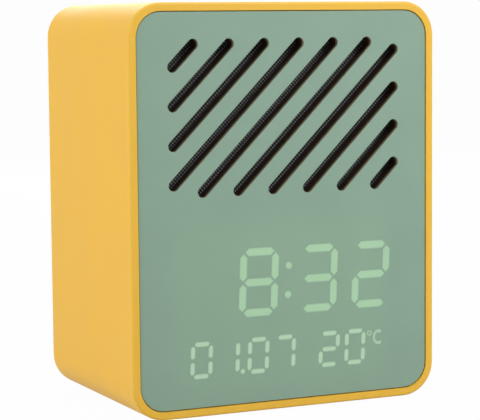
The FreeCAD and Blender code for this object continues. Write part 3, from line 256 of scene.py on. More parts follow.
def tint(tree, share, first, second):
    """A colour between two, each a colour or an output."""
    mix = tree.nodes.new("ShaderNodeMix")
    mix.data_type = "RGBA"
    for value, socket in ((share, mix.inputs[0]), (first, mix.inputs[6]), (second, mix.inputs[7])):
        if isinstance(value, bpy.types.NodeSocket):
            tree.links.new(value, socket)
        else:
            socket.default_value = value
    return mix.outputs[2]


def shade(colour, share):
    """A colour made lighter or darker by a share."""
    return tuple(min(1.0, part * share) for part in colour[:3]) + (1.0,)


def mottled(tree, cloud, colour, darker, lighter):
    """A colour that wanders between two shares of itself, as a noise does."""
    return tint(tree, spread(tree, cloud, 0.0, 1.0), shade(colour, darker), shade(colour, lighter))


def raise_skin(tree, shader, height, distance, strength=0.4):
    """Bumps a shader's surface by a height pattern, over a depth in metres."""
    bump = tree.nodes.new("ShaderNodeBump")
    bump.inputs["Strength"].default_value = strength
    bump.inputs["Distance"].default_value = distance
    tree.links.new(height, bump.inputs["Height"])
    tree.links.new(bump.outputs["Normal"], shader.inputs["Normal"])


def object_axes(tree):
    """The three object coordinates, as outputs."""
    place = tree.nodes.new("ShaderNodeTexCoord")
    split = tree.nodes.new("ShaderNodeSeparateXYZ")
    tree.links.new(place.outputs["Object"], split.inputs["Vector"])
    return split.outputs


def edge_rub(tree, low, high, width):
    """1 along the outer edges of a box, and 0 a width away from them."""
    middle, half = (low + high) / 2, (high - low) / 2
    near = []
    for axis, output in enumerate(object_axes(tree)):
        reach = calculate(tree, "ABSOLUTE", calculate(tree, "SUBTRACT", output, middle[axis]))
        near.append(spread(tree, reach, 0.0, 1.0, half[axis] - width, half[axis]))
    pairs = [calculate(tree, "MULTIPLY", near[a], near[b]) for a, b in ((0, 1), (1, 2), (0, 2))]
    return calculate(tree, "MAXIMUM", calculate(tree, "MAXIMUM", pairs[0], pairs[1]), pairs[2])


def moulded(name, colour, rough, grain=9000.0, depth=0.012 * mm, mottle=0.02):
    """Moulded plastic: a fine grain, slightly cloudy in colour and in gloss."""
    material, tree, plastic = new_surface(name)
    cloud = noise(tree, 60.0, detail=3.0)
    colours = mottled(tree, cloud, colour, 1 - mottle, 1 + mottle)
    tree.links.new(colours, plastic.inputs["Base Color"])
    tree.links.new(spread(tree, cloud, rough - 0.03, rough + 0.03), plastic.inputs["Roughness"])
    raise_skin(tree, plastic, noise(tree, grain), depth)
    return material


def casing_material():
    """Yellow ABS, with the moulding's grain and edges rubbed by handling."""
    material, tree, plastic = new_surface("yellow_abs_casing")
    cloud = noise(tree, 45.0, detail=4.0)
    body = mottled(tree, cloud, yellow, 0.985, 1.015)
    rub = edge_rub(tree, casing_low, casing_high, rubbed_width)
    rub = calculate(tree, "MULTIPLY", rub, spread(tree, noise(tree, 400.0, detail=4.0), 0.35, 1.0))
    worn = tint(tree, calculate(tree, "MULTIPLY", rub, rubbed_colour_share), body, yellow_rubbed)
    tree.links.new(worn, plastic.inputs["Base Color"])
    gloss = calculate(tree, "MULTIPLY", rub, rubbed_gloss)
    rough = calculate(tree, "SUBTRACT", spread(tree, cloud, 0.5, 0.56), gloss)
    tree.links.new(rough, plastic.inputs["Roughness"])
    coarse = calculate(tree, "MULTIPLY", noise(tree, 1500.0), coarse_grain_share)
    raise_skin(tree, plastic, calculate(tree, "ADD", noise(tree, 5200.0), coarse), 0.014 * mm)
    return material


dress(casing_material(), "casing")

# Front panel: a thin sheet with a satin sea-green face over a brown fibre core,
# which shows on the walls of its ten sound slots. Near the face the walls turn
# half green, partly stray paint and partly painted light. It is taped to the
# front frame.
green = (0.243, 0.371, 0.282, 1.0)
# Painted glow: the panel's base colour is a little greener round the digits, for the display's
# light.
green_painted_glow = (0.252, 0.394, 0.283, 1.0)
core_brown = (0.27, 0.18, 0.1, 1.0)
panel_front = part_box("front_panel")[0].y
paint_and_light_depth = 0.8 * mm
paint_and_light_share = 0.5
paint_starts, paint_covers = 0.35, 0.6
display_left, display_right = -27 * mm, 24 * mm
display_foot, display_head = 11 * mm, 46 * mm
display_rim = 8 * mm


def facing_front(tree, turned_away, facing):
    """0 to 1 as a surface turns to the front, between two shares."""
    geometry = tree.nodes.new("ShaderNodeNewGeometry")
    split = tree.nodes.new("ShaderNodeSeparateXYZ")
    tree.links.new(geometry.outputs["Normal"], split.inputs["Vector"])
    forward = calculate(tree, "MULTIPLY", split.outputs["Y"], -1.0)
    return spread(tree, forward, 0.0, 1.0, turned_away, facing)


def painted_glow_round_digits(tree):
    """The share of the painted glow: 1 over the display, and down to 0 across a wide rim round it.
    """
    axes = object_axes(tree)
    rise_x = spread(tree, axes["X"], 0.0, 1.0, display_left - display_rim, display_left)
    fall_x = spread(tree, axes["X"], 1.0, 0.0, display_right, display_right + display_rim)
    rise_z = spread(tree, axes["Z"], 0.0, 1.0, display_foot - display_rim, display_foot)
    fall_z = spread(tree, axes["Z"], 1.0, 0.0, display_head, display_head + display_rim)
    across = calculate(tree, "MULTIPLY", rise_x, fall_x)
    return calculate(tree, "MULTIPLY", across, calculate(tree, "MULTIPLY", rise_z, fall_z))


def satin_green(name):
    """The panel's painted face: a material, its node tree, its shader and its colour.

    The base colour holds a painted glow: a little greener round the digits, where the display's
    light spreads in the paint.
    """
    material, tree, paint = new_surface(name)
    cloud = noise(tree, 90.0, detail=3.0)
    tones = [mottled(tree, cloud, tone, 0.985, 1.015) for tone in (green, green_painted_glow)]
    colours = tint(tree, painted_glow_round_digits(tree), *tones)
    tree.links.new(spread(tree, cloud, 0.38, 0.44), paint.inputs["Roughness"])
    raise_skin(tree, paint, noise(tree, 6500.0), 0.008 * mm, strength=0.25)
    return material, tree, paint, colours


def panel_material():
    """Green where it faces the front, and brown where it is cut, less so near the face, where stray
    paint and painted light make the walls lighter.
    """
    material, tree, paint, colours = satin_green("green_panel")
    depth = object_axes(tree)["Y"]
    # Stray paint and painted light: the cut walls are half green at the face and fully brown 0.8 mm
    # in.
    stray_paint_and_light = spread(tree, depth, paint_and_light_share, 0.0, panel_front, panel_front + paint_and_light_depth)
    cut_wall = tint(tree, stray_paint_and_light, core_brown, colours)
    painted = facing_front(tree, paint_starts, paint_covers)
    tree.links.new(tint(tree, painted, cut_wall, colours), paint.inputs["Base Color"])
    return material


dress(panel_material(), "front_panel")

# Lit segments: the light of the hidden display as it shows on the panel. Each
# bar is a patch of the panel's own face that fades out at its rim, pointed in
# the large digits and rounded in the small ones. The digits lean to the right.
patch_height = 0.02 * mm
bar_tip = 0.4995
digit_slant = math.tan(math.radians(2.4))
display_middle = 53.3
main_digit = {"width": 11.0, "height": 17.6, "bar": 1.95, "gap": 0.31, "tip_steps": 1}
small_digit = {"width": 6.1, "height": 9.4, "bar": 1.15, "gap": 0.45, "tip_steps": 2}
main_bottom = display_middle - 27.8
small_bottom = display_middle - 42.7
main_row = {-14.0: "8", 3.2: "3", 18.7: "2"}
small_row = {-27.7: "0", -20.05: "1", -11.7: "0", -4.05: "7", 8.9: "2", 16.55: "0"}
lit_bars = {"0": "abcdef", "1": "bc", "2": "abdeg", "3": "abcdg", "7": "abc", "8": "abcdefg"}
colon_dots = ((0.48, display_middle - 15.22), (0.16, display_middle - 22.77))
colon_radius = 0.9
date_point = (-12.95, display_middle - 41.82)
date_point_radius = 0.6
degree_centre = (24.15, display_middle - 34.75)
degree_radius, degree_line = 0.55, 0.55
letter_centre = (26.85, display_middle - 35.95)
letter_radius, letter_line, letter_stretch = 1.35, 0.85, 1.18
letter_start, letter_sweep = 50.0, 260.0
main_fade, small_fade, degree_fade = 0.5, 0.5, 0.2
main_light = (0.135, 0.22, 0.11, 1.0)
small_light = (0.185, 0.26, 0.17, 1.0)
degree_dimming = 0.75


def face_place(origin, across, up):
    """Where a flat drawing in millimetres is laid: its X across, its Y up."""
    across, up = Vector(across), Vector(up)
    turn = Matrix((across, up, across.cross(up))).transposed()
    return Matrix.Translation(Vector(origin)) @ turn.to_4x4() @ Matrix.Scale(mm, 4)


def draw_bar(drawing, start, end, width, tip_steps=0):
    """A flat bar between two points: square, pointed (1) or rounded (2) at its ends."""
    start, end = Vector(start), Vector(end)
    along = end - start
    place = Matrix.Translation(((start + end) / 2).to_3d())
    place = place @ Matrix.Rotation(math.atan2(along.y, along.x), 4, "Z")
    place = place @ Matrix.Diagonal((along.length, width, 1, 1))
    bar = bmesh.ops.create_grid(drawing, x_segments=1, y_segments=1, size=0.5, matrix=place)
    if tip_steps:
        bmesh.ops.bevel(
            drawing, geom=bar["verts"], offset=width * bar_tip, affect="VERTICES",
            segments=tip_steps, profile=0.5, material=-1, clamp_overlap=True,
        )
        bmesh.ops.remove_doubles(drawing, verts=drawing.verts, dist=0.01)


def draw_disc(drawing, centre, radius, steps=20):
    """A flat round dot."""
    place = Matrix.Translation(Vector(centre).to_3d())
    bmesh.ops.create_circle(drawing, cap_ends=True, radius=radius, segments=steps, matrix=place)


def draw_band(drawing, centre, radius, width, start=0.0, sweep=360.0, steps=24):
    """A flat ring, or a part of one, as wide as width round a radius."""
    centre = Vector(centre).to_3d()
    first = Vector((math.cos(math.radians(start)), math.sin(math.radians(start)), 0))
    ends = [drawing.verts.new(centre + first * (radius + side * width / 2)) for side in (-1, 1)]
    edge = drawing.edges.new(ends)
    bmesh.ops.spin(
        drawing, geom=ends + [edge], cent=centre, axis=(0, 0, 1), angle=math.radians(sweep),
        steps=steps, use_merge=sweep == 360.0,
    )


def raise_drawing(drawing, height, place):
    """Makes a flat drawing solid, as high as height, and lays it on its place."""
    lifted = made_points(bmesh.ops.extrude_face_region(drawing, geom=drawing.faces[:]))
    bmesh.ops.translate(drawing, verts=lifted, vec=(0, 0, height / mm))
    bmesh.ops.transform(drawing, matrix=place, verts=drawing.verts)
    bmesh.ops.recalc_face_normals(drawing, faces=drawing.faces)


def add_mesh(drawing, part):
    """Puts a finished bmesh into another one."""
    mesh = bpy.data.meshes.new("part")
    part.to_mesh(mesh)
    part.free()
    drawing.from_mesh(mesh)
    bpy.data.meshes.remove(mesh)


def bar_ends(letter, size):
    """The two ends of one bar of an upright digit, a to g."""
    half, gap = size["bar"] / 2, size["gap"]
    low, middle, high = half, size["height"] / 2, size["height"] - half
    west, east = half, size["width"] - half
    if letter in "adg":
        z = {"a": high, "g": middle, "d": low}[letter]
        return (west + gap, z), (east - gap, z)
    x = east if letter in "bc" else west
    if letter in "bf":
        return (x, middle + gap), (x, high - gap)
    return (x, low + gap), (x, middle - gap)


def draw_digit(drawing, digit, left, bottom, size, fade):
    """The lit bars of one digit, widened so that they fade out past their edge."""
    leaning = bmesh.new()
    for letter in lit_bars[digit]:
        start, end = [Vector(point) for point in bar_ends(letter, size)]
        reach = (end - start).normalized() * (fade / 2)
        draw_bar(leaning, start - reach, end + reach, size["bar"] + fade, size["tip_steps"])
    lean = Matrix.Identity(4)
    lean[0][1] = digit_slant
    place = Matrix.Translation((left, bottom, 0)) @ lean
    bmesh.ops.transform(leaning, matrix=place, verts=leaning.verts)
    add_mesh(drawing, leaning)


def lit_material(name, light):
    """The panel's own face with light behind it, as strong as the attribute glow."""
    material, tree, paint, colours = satin_green(name)
    tree.links.new(colours, paint.inputs["Base Color"])
    level = tree.nodes.new("ShaderNodeAttribute")
    level.attribute_name = "glow"
    fade = tree.nodes.new("ShaderNodeMapRange")
    fade.interpolation_type = "SMOOTHSTEP"
    tree.links.new(level.outputs["Fac"], fade.inputs["Value"])
    paint.inputs["Emission Color"].default_value = light
    tree.links.new(fade.outputs["Result"], paint.inputs["Emission Strength"])
    return material


def lay_light(name, drawing, fade, light):
    """Turns a drawing into lit patches on the panel that fade over a width."""
    raise_drawing(drawing, patch_height, face_place((0, panel_front, 0), (1, 0, 0), (0, 0, 1)))
    glow = drawing.verts.layers.float.new("glow")
    tops = [face for face in drawing.faces if face.normal.y < -0.9]
    bmesh.ops.inset_region(
        drawing, faces=tops, thickness=fade * mm, use_even_offset=True, use_boundary=True,
    )
    for face in tops:
        for vert in face.verts:
            vert[glow] = 1.0
    piece = finish_mesh(name, drawing)
    piece.data.materials.append(lit_material(name, light))
    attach(piece, "housing")


time_drawing = bmesh.new()
for left, digit in main_row.items():
    draw_digit(time_drawing, digit, left, main_bottom, main_digit, main_fade)
for dot in colon_dots:
    draw_disc(time_drawing, dot, colon_radius + main_fade / 2)
lay_light("lit_time", time_drawing, main_fade, main_light)

date_drawing = bmesh.new()
for left, digit in small_row.items():
    draw_digit(date_drawing, digit, left, small_bottom, small_digit, small_fade)
draw_disc(date_drawing, date_point, date_point_radius + small_fade / 2)
lay_light("lit_date", date_drawing, small_fade, small_light)

letter_c = bmesh.new()
draw_band(letter_c, (0, 0), letter_radius, letter_line, letter_start, letter_sweep, steps=22)
letter_place = Matrix.Translation((*letter_centre, 0)) @ Matrix.Diagonal((1, letter_stretch, 1, 1))
bmesh.ops.transform(letter_c, matrix=letter_place, verts=letter_c.verts)
degree_drawing = bmesh.new()
draw_band(degree_drawing, degree_centre, degree_radius, degree_line, steps=20)
add_mesh(degree_drawing, letter_c)
lay_light("lit_degree", degree_drawing, degree_fade, shade(small_light, degree_dimming))

# Front frame, mask and tape: a dark brown ABS frame, which repeats the slots and
# carries the speaker and display. The mask of the digits and the tape are black.
frame_brown = (0.035, 0.019, 0.0095, 1.0)
mask_black = (0.006, 0.0042, 0.003, 1.0)
dress(moulded("brown_abs", frame_brown, rough=0.6), "front_frame")
dress(moulded("black_abs", mask_black, rough=0.6), "segment_mask", "panel_tape")

# Speaker cloth: a plain weave of dark grey yarn, stretched flat and glued to
# the back of the frame, so that it shows through the slots.
cloth_low, cloth_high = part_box("speaker_cloth")
cloth_middle = (cloth_low + cloth_high) / 2
cloth_half = (cloth_high - cloth_low) / 2
cloth_corner = 6.0 * mm
cloth_skin = 0.12 * mm
yarn_pitch = 0.54 * mm
yarn_rise = 0.09 * mm
yarns_across = round(2 * cloth_half.x / yarn_pitch)
yarns_up = round(2 * cloth_half.z / yarn_pitch)
wave_across = math.pi * yarns_across / (2 * cloth_half.x)
wave_up = math.pi * yarns_up / (2 * cloth_half.z)
yarn_hole_painted_shade = (0.0015, 0.0014, 0.0014, 1.0)
yarn_crossing_painted_highlight = (0.28, 0.28, 0.28, 1.0)


def cloth_material():
    """Dark yarn with painted light: lighter on top of each crossing as a painted highlight, and
    near-black in the holes between as painted shade.
    """
    material, tree, yarn = new_surface("speaker_cloth")
    yarn.inputs["Roughness"].default_value = 0.8
    yarn.inputs["Sheen Weight"].default_value = 0.15
    axes = object_axes(tree)
    waves = []
    for axis, edge, wave in (("X", cloth_low.x, wave_across), ("Z", cloth_low.z, wave_up)):
        from_edge = calculate(tree, "SUBTRACT", axes[axis], edge)
        waves.append(calculate(tree, "COSINE", calculate(tree, "MULTIPLY", from_edge, wave)))
    level = spread(tree, calculate(tree, "MULTIPLY", *waves), 0.0, 1.0, 0.12, 0.9)
    level = calculate(tree, "MULTIPLY", level, spread(tree, noise(tree, 1200.0), 0.55, 1.0))
    # Painted highlight on the crossings and painted shade in the holes of one dark yarn.
    tree.links.new(tint(tree, level, yarn_hole_painted_shade, yarn_crossing_painted_highlight), yarn.inputs["Base Color"])
    return material


weave = bmesh.new()
bmesh.ops.create_grid(weave, x_segments=2 * yarns_across, y_segments=2 * yarns_up, size=1.0)
bmesh.ops.scale(weave, verts=weave.verts, vec=(cloth_half.x, cloth_half.z, 1.0))
bmesh.ops.rotate(weave, verts=weave.verts, matrix=Matrix.Rotation(math.pi / 2, 3, "X"))
cut_off = []
for vert in weave.verts:
    past_x = abs(vert.co.x) - (cloth_half.x - cloth_corner)
    past_z = abs(vert.co.z) - (cloth_half.z - cloth_corner)
    if past_x > 0 and past_z > 0 and math.hypot(past_x, past_z) > cloth_corner:
        cut_off.append(vert)
bmesh.ops.delete(weave, geom=cut_off, context="VERTS")
bmesh.ops.translate(weave, verts=weave.verts, vec=cloth_middle)
for vert in weave.verts:
    across = math.cos(wave_across * (vert.co.x - cloth_low.x))
    up = math.cos(wave_up * (vert.co.z - cloth_low.z))
    vert.co.y -= across * up * yarn_rise
bmesh.ops.recalc_face_normals(weave, faces=weave.faces)
cloth = finish_mesh("speaker_cloth_weave", weave, smooth=True)
cloth.data.materials.append(cloth_material())
cloth_wall = cloth.modifiers.new("thickness", "SOLIDIFY")
cloth_wall.thickness = cloth_skin
cloth_wall.offset = 0.0
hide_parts("speaker_cloth")
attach(cloth, "housing")

# Speaker metalwork: a pressed basket, a top plate and a yoke in zinc-plated
# steel, round a grey ferrite ring magnet.
zinc_grey = (0.62, 0.62, 0.60, 1.0)
ferrite_grey = (0.045, 0.044, 0.046, 1.0)
scratch_depth = 0.004 * mm


def metal(name, colour, rough, brushing=(1.0, 1.0, 1.0)):
    """Plated or bare metal, with small changes of gloss and fine brushing."""
    material, tree, plate = new_surface(name)
    plate.inputs["Metallic"].default_value = 1.0
    cloud = noise(tree, 250.0, detail=4.0)
    tree.links.new(mottled(tree, cloud, colour, 0.9, 1.06), plate.inputs["Base Color"])
    tree.links.new(spread(tree, cloud, rough - 0.07, rough + 0.07), plate.inputs["Roughness"])
    raise_skin(tree, plate, noise(tree, 3500.0, 3.0, brushing), scratch_depth, strength=0.3)
    return material


zinc = metal("zinc_plate", zinc_grey, rough=0.36)
dress(zinc, "speaker_basket", "speaker_top_plate", "speaker_yoke")
dress(moulded("ferrite", ferrite_grey, rough=0.55, grain=2500.0, mottle=0.12), "speaker_magnet")

# Speaker cone: black paper pulp with pressed rings and a paper dust cap, hung
# on a rubber roll, with a copper voice coil on its throat.
speaker_axis = Vector((0, 0, 76.7 * mm))
cone_rings = ("Y", 1.6 * mm, "RINGS", speaker_axis)
coil_turns = ("Y", 0.2 * mm)
pulp_black = (0.035, 0.034, 0.033, 1.0)
cap_black = (0.030, 0.029, 0.028, 1.0)
roll_black = (0.014, 0.014, 0.014, 1.0)
coil_copper = (0.80, 0.36, 0.16, 1.0)
wave_texture_turn = 20.0


def bands(tree, direction, pitch, kind="BANDS", centre=(0.0, 0.0, 0.0)):
    """A row of even ridges along an object axis, or rings round one.

    At scale 1 the wave texture turns by 20 radians in a metre.
    """
    place = tree.nodes.new("ShaderNodeTexCoord")
    mapping = tree.nodes.new("ShaderNodeMapping")
    mapping.inputs["Location"].default_value = -Vector(centre)
    ridges = tree.nodes.new("ShaderNodeTexWave")
    ridges.wave_type = kind
    setattr(ridges, kind.lower() + "_direction", direction)
    ridges.inputs["Scale"].default_value = 2 * math.pi / wave_texture_turn / pitch
    tree.links.new(place.outputs["Object"], mapping.inputs["Vector"])
    tree.links.new(mapping.outputs["Vector"], ridges.inputs["Vector"])
    return ridges.outputs["Fac"]


def ridged(name, colour, rough, ridge_args, depth, metallic=0.0):
    """A surface with even ridges: wound wire, cable cores or pressed rings, painted darker in the
    grooves as shade and lighter on the crests as highlight.
    """
    material, tree, surface = new_surface(name)
    surface.inputs["Metallic"].default_value = metallic
    ridge = bands(tree, *ridge_args)
    fleck = spread(tree, noise(tree, 900.0, detail=3.0), 0.85, 1.0)
    level = calculate(tree, "MULTIPLY", ridge, fleck)
    # Painted shade in the grooves and a painted highlight on the crests of the ridges.
    colours = tint(tree, level, shade(colour, 0.55), shade(colour, 1.08))
    tree.links.new(colours, surface.inputs["Base Color"])
    roughness = spread(tree, fleck, rough - 0.05, rough + 0.05, 0.85, 1.0)
    tree.links.new(roughness, surface.inputs["Roughness"])
    raise_skin(tree, surface, ridge, depth, strength=0.7)
    return material


paper_cap = moulded("paper_cap", cap_black, rough=0.8, grain=3000.0, depth=0.03 * mm, mottle=0.15)
dress(ridged("paper_cone", pulp_black, 0.85, cone_rings, depth=0.12 * mm), "speaker_cone")
dress(paper_cap, "speaker_dust_cap")
dress(moulded("rubber_roll", roll_black, rough=0.62, grain=2500.0, mottle=0.08), "speaker_surround")
dress(ridged("wound_copper", coil_copper, 0.32, coil_turns, 0.05 * mm, metallic=1.0), "voice_coil")

# Spider: a ring of amber woven cotton, pressed into waves and stiffened with
# resin, which centres the coil in the magnet.
spider_low, spider_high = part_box("speaker_spider")
spider_outer = (spider_high.x - spider_low.x) / 2
spider_inner = 6.6 * mm
spider_y = (spider_low.y + spider_high.y) / 2
spider_waves = 4
spider_wave_height = 0.35 * mm
spider_profile_steps = 40
spider_thickness = 0.25 * mm
resin_amber = (0.42, 0.22, 0.07, 1.0)


def spin_round(shape, centre, axis, steps):
    """Spins everything in a bmesh once round an axis, and closes it."""
    bmesh.ops.spin(
        shape, geom=shape.verts[:] + shape.edges[:], cent=centre, axis=axis,
        angle=2 * math.pi, steps=steps, use_merge=True,
    )
    bmesh.ops.remove_doubles(shape, verts=shape.verts, dist=0.001 * mm)
    bmesh.ops.recalc_face_normals(shape, faces=shape.faces)


spider = bmesh.new()
profile = []
for step in range(spider_profile_steps + 1):
    share = step / spider_profile_steps
    x = spider_inner + share * (spider_outer - spider_inner)
    y = spider_y + spider_wave_height * math.sin(2 * math.pi * spider_waves * share)
    profile.append(spider.verts.new((x, y, speaker_axis.z)))
for pair in zip(profile, profile[1:]):
    spider.edges.new(pair)
spin_round(spider, speaker_axis, (0, 1, 0), steps=64)
spider_ring = finish_mesh("spider_ring", spider, smooth=True)
resin_cotton = moulded(
    "resin_cotton", resin_amber, rough=0.75, grain=2600.0, depth=0.05 * mm, mottle=0.15,
)
spider_ring.data.materials.append(resin_cotton)
spider_wall = spider_ring.modifiers.new("thickness", "SOLIDIFY")
spider_wall.thickness = spider_thickness
spider_wall.offset = 0.0
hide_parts("speaker_spider")
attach(spider_ring, "housing")

# Gasket: a die-cut ring of closed-cell foam between the cloth and the flange
# of the speaker, slightly rounded at its pressed rims.
gasket_low, gasket_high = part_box("speaker_gasket")
gasket_outer = (gasket_high.x - gasket_low.x) / 2
gasket_inner = 19.4 * mm
gasket_rim = 0.3 * mm
foam_black = (0.022, 0.022, 0.024, 1.0)


def round_profile(shape, points, rounding):
    """A closed profile through points, with every corner rounded."""
    face = shape.faces.new([shape.verts.new(point) for point in points])
    bmesh.ops.bevel(
        shape, geom=face.verts[:], offset=rounding, affect="VERTICES",
        segments=3, profile=0.5, material=-1, clamp_overlap=True,
    )
    bmesh.ops.delete(shape, geom=shape.faces[:], context="FACES_ONLY")


gasket = bmesh.new()
gasket_corners = [
    (gasket_inner, gasket_low.y, speaker_axis.z), (gasket_outer, gasket_low.y, speaker_axis.z),
    (gasket_outer, gasket_high.y, speaker_axis.z), (gasket_inner, gasket_high.y, speaker_axis.z),
]
round_profile(gasket, gasket_corners, gasket_rim)
spin_round(gasket, speaker_axis, (0, 1, 0), steps=72)
gasket_ring = finish_mesh("gasket_ring", gasket, smooth=True)
foam = moulded("closed_cell_foam", foam_black, rough=0.9, grain=3200.0, depth=0.08 * mm, mottle=0.2)
gasket_ring.data.materials.append(foam)
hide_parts("speaker_gasket")
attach(gasket_ring, "housing")

# Display: a milky diffuser film under the panel, one small lamp chip behind
# each bar of the mask, and a board with two driver chips.
film_white = (0.78, 0.80, 0.78, 1.0)
phosphor_yellow = (0.85, 0.78, 0.35, 1.0)
solder_mask_green = (0.012, 0.09, 0.028, 1.0)
epoxy_black = (0.018, 0.018, 0.019, 1.0)
track_pitch = 1.4 * mm
track_pitch_ratio = 1.3
track_crest = 0.93


def circuit_board(name, colour, pitch):
    """Glass-epoxy board: solder mask over faint copper tracks."""
    material, tree, mask = new_surface(name)
    mask.inputs["Coat Weight"].default_value = 0.4
    mask.inputs["Coat Roughness"].default_value = 0.2
    rows = bands(tree, "Z", pitch * track_pitch_ratio)
    tracks = calculate(tree, "MAXIMUM", bands(tree, "X", pitch), rows)
    shown = calculate(tree, "GREATER_THAN", tracks, track_crest)
    laid = calculate(tree, "GREATER_THAN", noise(tree, 130.0), 0.5)
    shown = calculate(tree, "MULTIPLY", shown, laid)
    tree.links.new(tint(tree, shown, colour, shade(colour, 1.9)), mask.inputs["Base Color"])
    tree.links.new(spread(tree, noise(tree, 500.0), 0.35, 0.5), mask.inputs["Roughness"])
    raise_skin(tree, mask, shown, 0.03 * mm)
    return material


board_green = circuit_board("green_board", solder_mask_green, track_pitch)
chip_epoxy = moulded("chip_epoxy", epoxy_black, rough=0.6, grain=6000.0, mottle=0.08)
lamp_phosphor = moulded("lamp_phosphor", phosphor_yellow, rough=0.45, grain=4000.0, mottle=0.05)
dress(moulded("milky_film", film_white, rough=0.5, mottle=0.01), "diffuser_film")
dress(lamp_phosphor, "display_leds")
dress(board_green, "display_board", "talk_board", "main_board")
dress(chip_epoxy, "display_drivers", "speech_chip", "clock_chip")
dress(chip_epoxy, "alarm_switch_body", "key_switches")

# Screws and terminals: zinc-plated steel, each with a cross recess, and a
# brown laminate strip on the speaker for its two solder lugs.
steel_grey = (0.66, 0.66, 0.64, 1.0)
laminate_brown = (0.16, 0.07, 0.03, 1.0)
screws = ("front", "speaker", "display", "talk_board", "rear", "main_board")
dress(metal("plated_steel", steel_grey, rough=0.3), *[name + "_screws" for name in screws])
dress(moulded("brown_laminate", laminate_brown, rough=0.55, mottle=0.1), "speaker_terminals")

# Talk button: the same yellow ABS as the casing, a long pill in the roof, with
# raised arcs and a dot as a sign for speech.
yellow_moulding = moulded("yellow_abs_parts", shade(yellow, 0.99), rough=0.47, grain=5200.0)
dress(yellow_moulding, "talk_button")
button_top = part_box("talk_button")[1].z
sign_height = 0.15 * mm
sign_dot = 0.7
sign_line = 0.55
sign_arcs = (2.0, 3.3, 4.6)
sign_arc_starts = (-38.0, 142.0)
sign_arc_sweep = 76.0
talk_sign = bmesh.new()
draw_disc(talk_sign, (0, 0), sign_dot, steps=24)
for radius in sign_arcs:
    for start in sign_arc_starts:
        draw_band(talk_sign, (0, 0), radius, sign_line, start, sign_arc_sweep, steps=14)


def lay_mark(name, drawing, height, place, material, body):
    """Makes a drawing a raised or printed mark on a moulding, and lets it ride with it."""
    raise_drawing(drawing, height, place)
    piece = finish_mesh(name, drawing)
    piece.data.materials.append(material)
    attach(piece, body)


roof_place = face_place((0, 0, button_top), (1, 0, 0), (0, 1, 0))
lay_mark(
    "talk_sign", talk_sign, sign_height, roof_place, yellow_moulding, "talk_button",
)

# Talk dome: a small white silicone dome on the switch board, with a thick foot
# and crown and a thin wall, which the button presses flat.
dome_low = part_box("talk_dome")[0]
dome_profile = (
    (0.0, 2.5), (2.6, 2.5), (2.9, 1.9), (3.6, 0.6), (4.2, 0.6),
    (4.2, 0.0), (3.1, 0.0), (2.2, 1.5), (0.0, 1.5),
)
dome_rounding = 0.12 * mm
silicone_white = (0.72, 0.72, 0.70, 1.0)
dome = bmesh.new()
points = []
for radius, height in dome_profile:
    points.append(dome.verts.new((radius * mm, 0, dome_low.z + height * mm)))
for pair in zip(points, points[1:]):
    dome.edges.new(pair)
bmesh.ops.bevel(
    dome, geom=points[1:-1], offset=dome_rounding, affect="VERTICES",
    segments=2, profile=0.5, material=-1, clamp_overlap=True,
)
spin_round(dome, (0, 0, dome_low.z), (0, 0, 1), steps=40)
silicone_dome = finish_mesh("silicone_dome", dome, smooth=True)
white_silicone = moulded("white_silicone", silicone_white, rough=0.55, grain=3000.0)
silicone_dome.data.materials.append(white_silicone)
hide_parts("talk_dome")
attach(silicone_dome, "housing")
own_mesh(silicone_dome)

# Rear cover and battery door: the same yellow ABS, screwed into the back of the
# casing. The door turns down on two pins at its lower edge.
dress(yellow_moulding, "rear_cover", "battery_door")

# Rear keys: four green caps with black printed signs for setting, minus, plus
# and alarm, each on the white plunger of its key switch.
key_names = ("set", "minus", "plus", "alarm")
nylon_white = (0.70, 0.69, 0.65, 1.0)
ink_black = (0.022, 0.022, 0.022, 1.0)
ink_height = 0.05 * mm
clock_ring, clock_line = 1.6, 0.4
long_hand, short_hand, hand_line = 1.05, 0.85, 0.36
cross_reach, cross_line = 1.5, 0.55
key_bell_scale = 1.3
key_green = moulded("green_key", green, rough=0.45, grain=6500.0)
white_nylon = moulded("white_nylon", nylon_white, rough=0.5, grain=3500.0)
print_ink = moulded("printed_ink", ink_black, rough=0.5, grain=12000.0, mottle=0.15)
dress(key_green, *[name + "_button" for name in key_names])
dress(white_nylon, *[name + "_plunger" for name in key_names])


def draw_bell(drawing, centre, scale):
    """A bell: a half-round crown on a flared skirt, with a clapper below."""
    crown, flare = 0.95 * scale, 1.35
    clapper, clapper_drop = 0.25 * scale, 1.35 * scale
    lift = 0.3 * scale
    bell = bmesh.new()
    bmesh.ops.create_circle(bell, cap_ends=True, radius=crown, segments=24)
    whole = bell.verts[:] + bell.edges[:] + bell.faces[:]
    bmesh.ops.bisect_plane(
        bell, geom=whole, plane_co=(0, 0, 0), plane_no=(0, 1, 0), clear_inner=True,
    )
    base = [edge for edge in bell.edges if all(abs(vert.co.y) < 1e-5 for vert in edge.verts)]
    rim = made_points(bmesh.ops.extrude_edge_only(bell, edges=base))
    bmesh.ops.scale(bell, vec=(flare, 1, 1), verts=rim)
    bmesh.ops.translate(bell, vec=(0, -crown, 0), verts=rim)
    draw_disc(bell, (0, -clapper_drop), clapper, steps=12)
    bmesh.ops.translate(bell, vec=(centre[0], centre[1] + lift, 0), verts=bell.verts)
    add_mesh(drawing, bell)


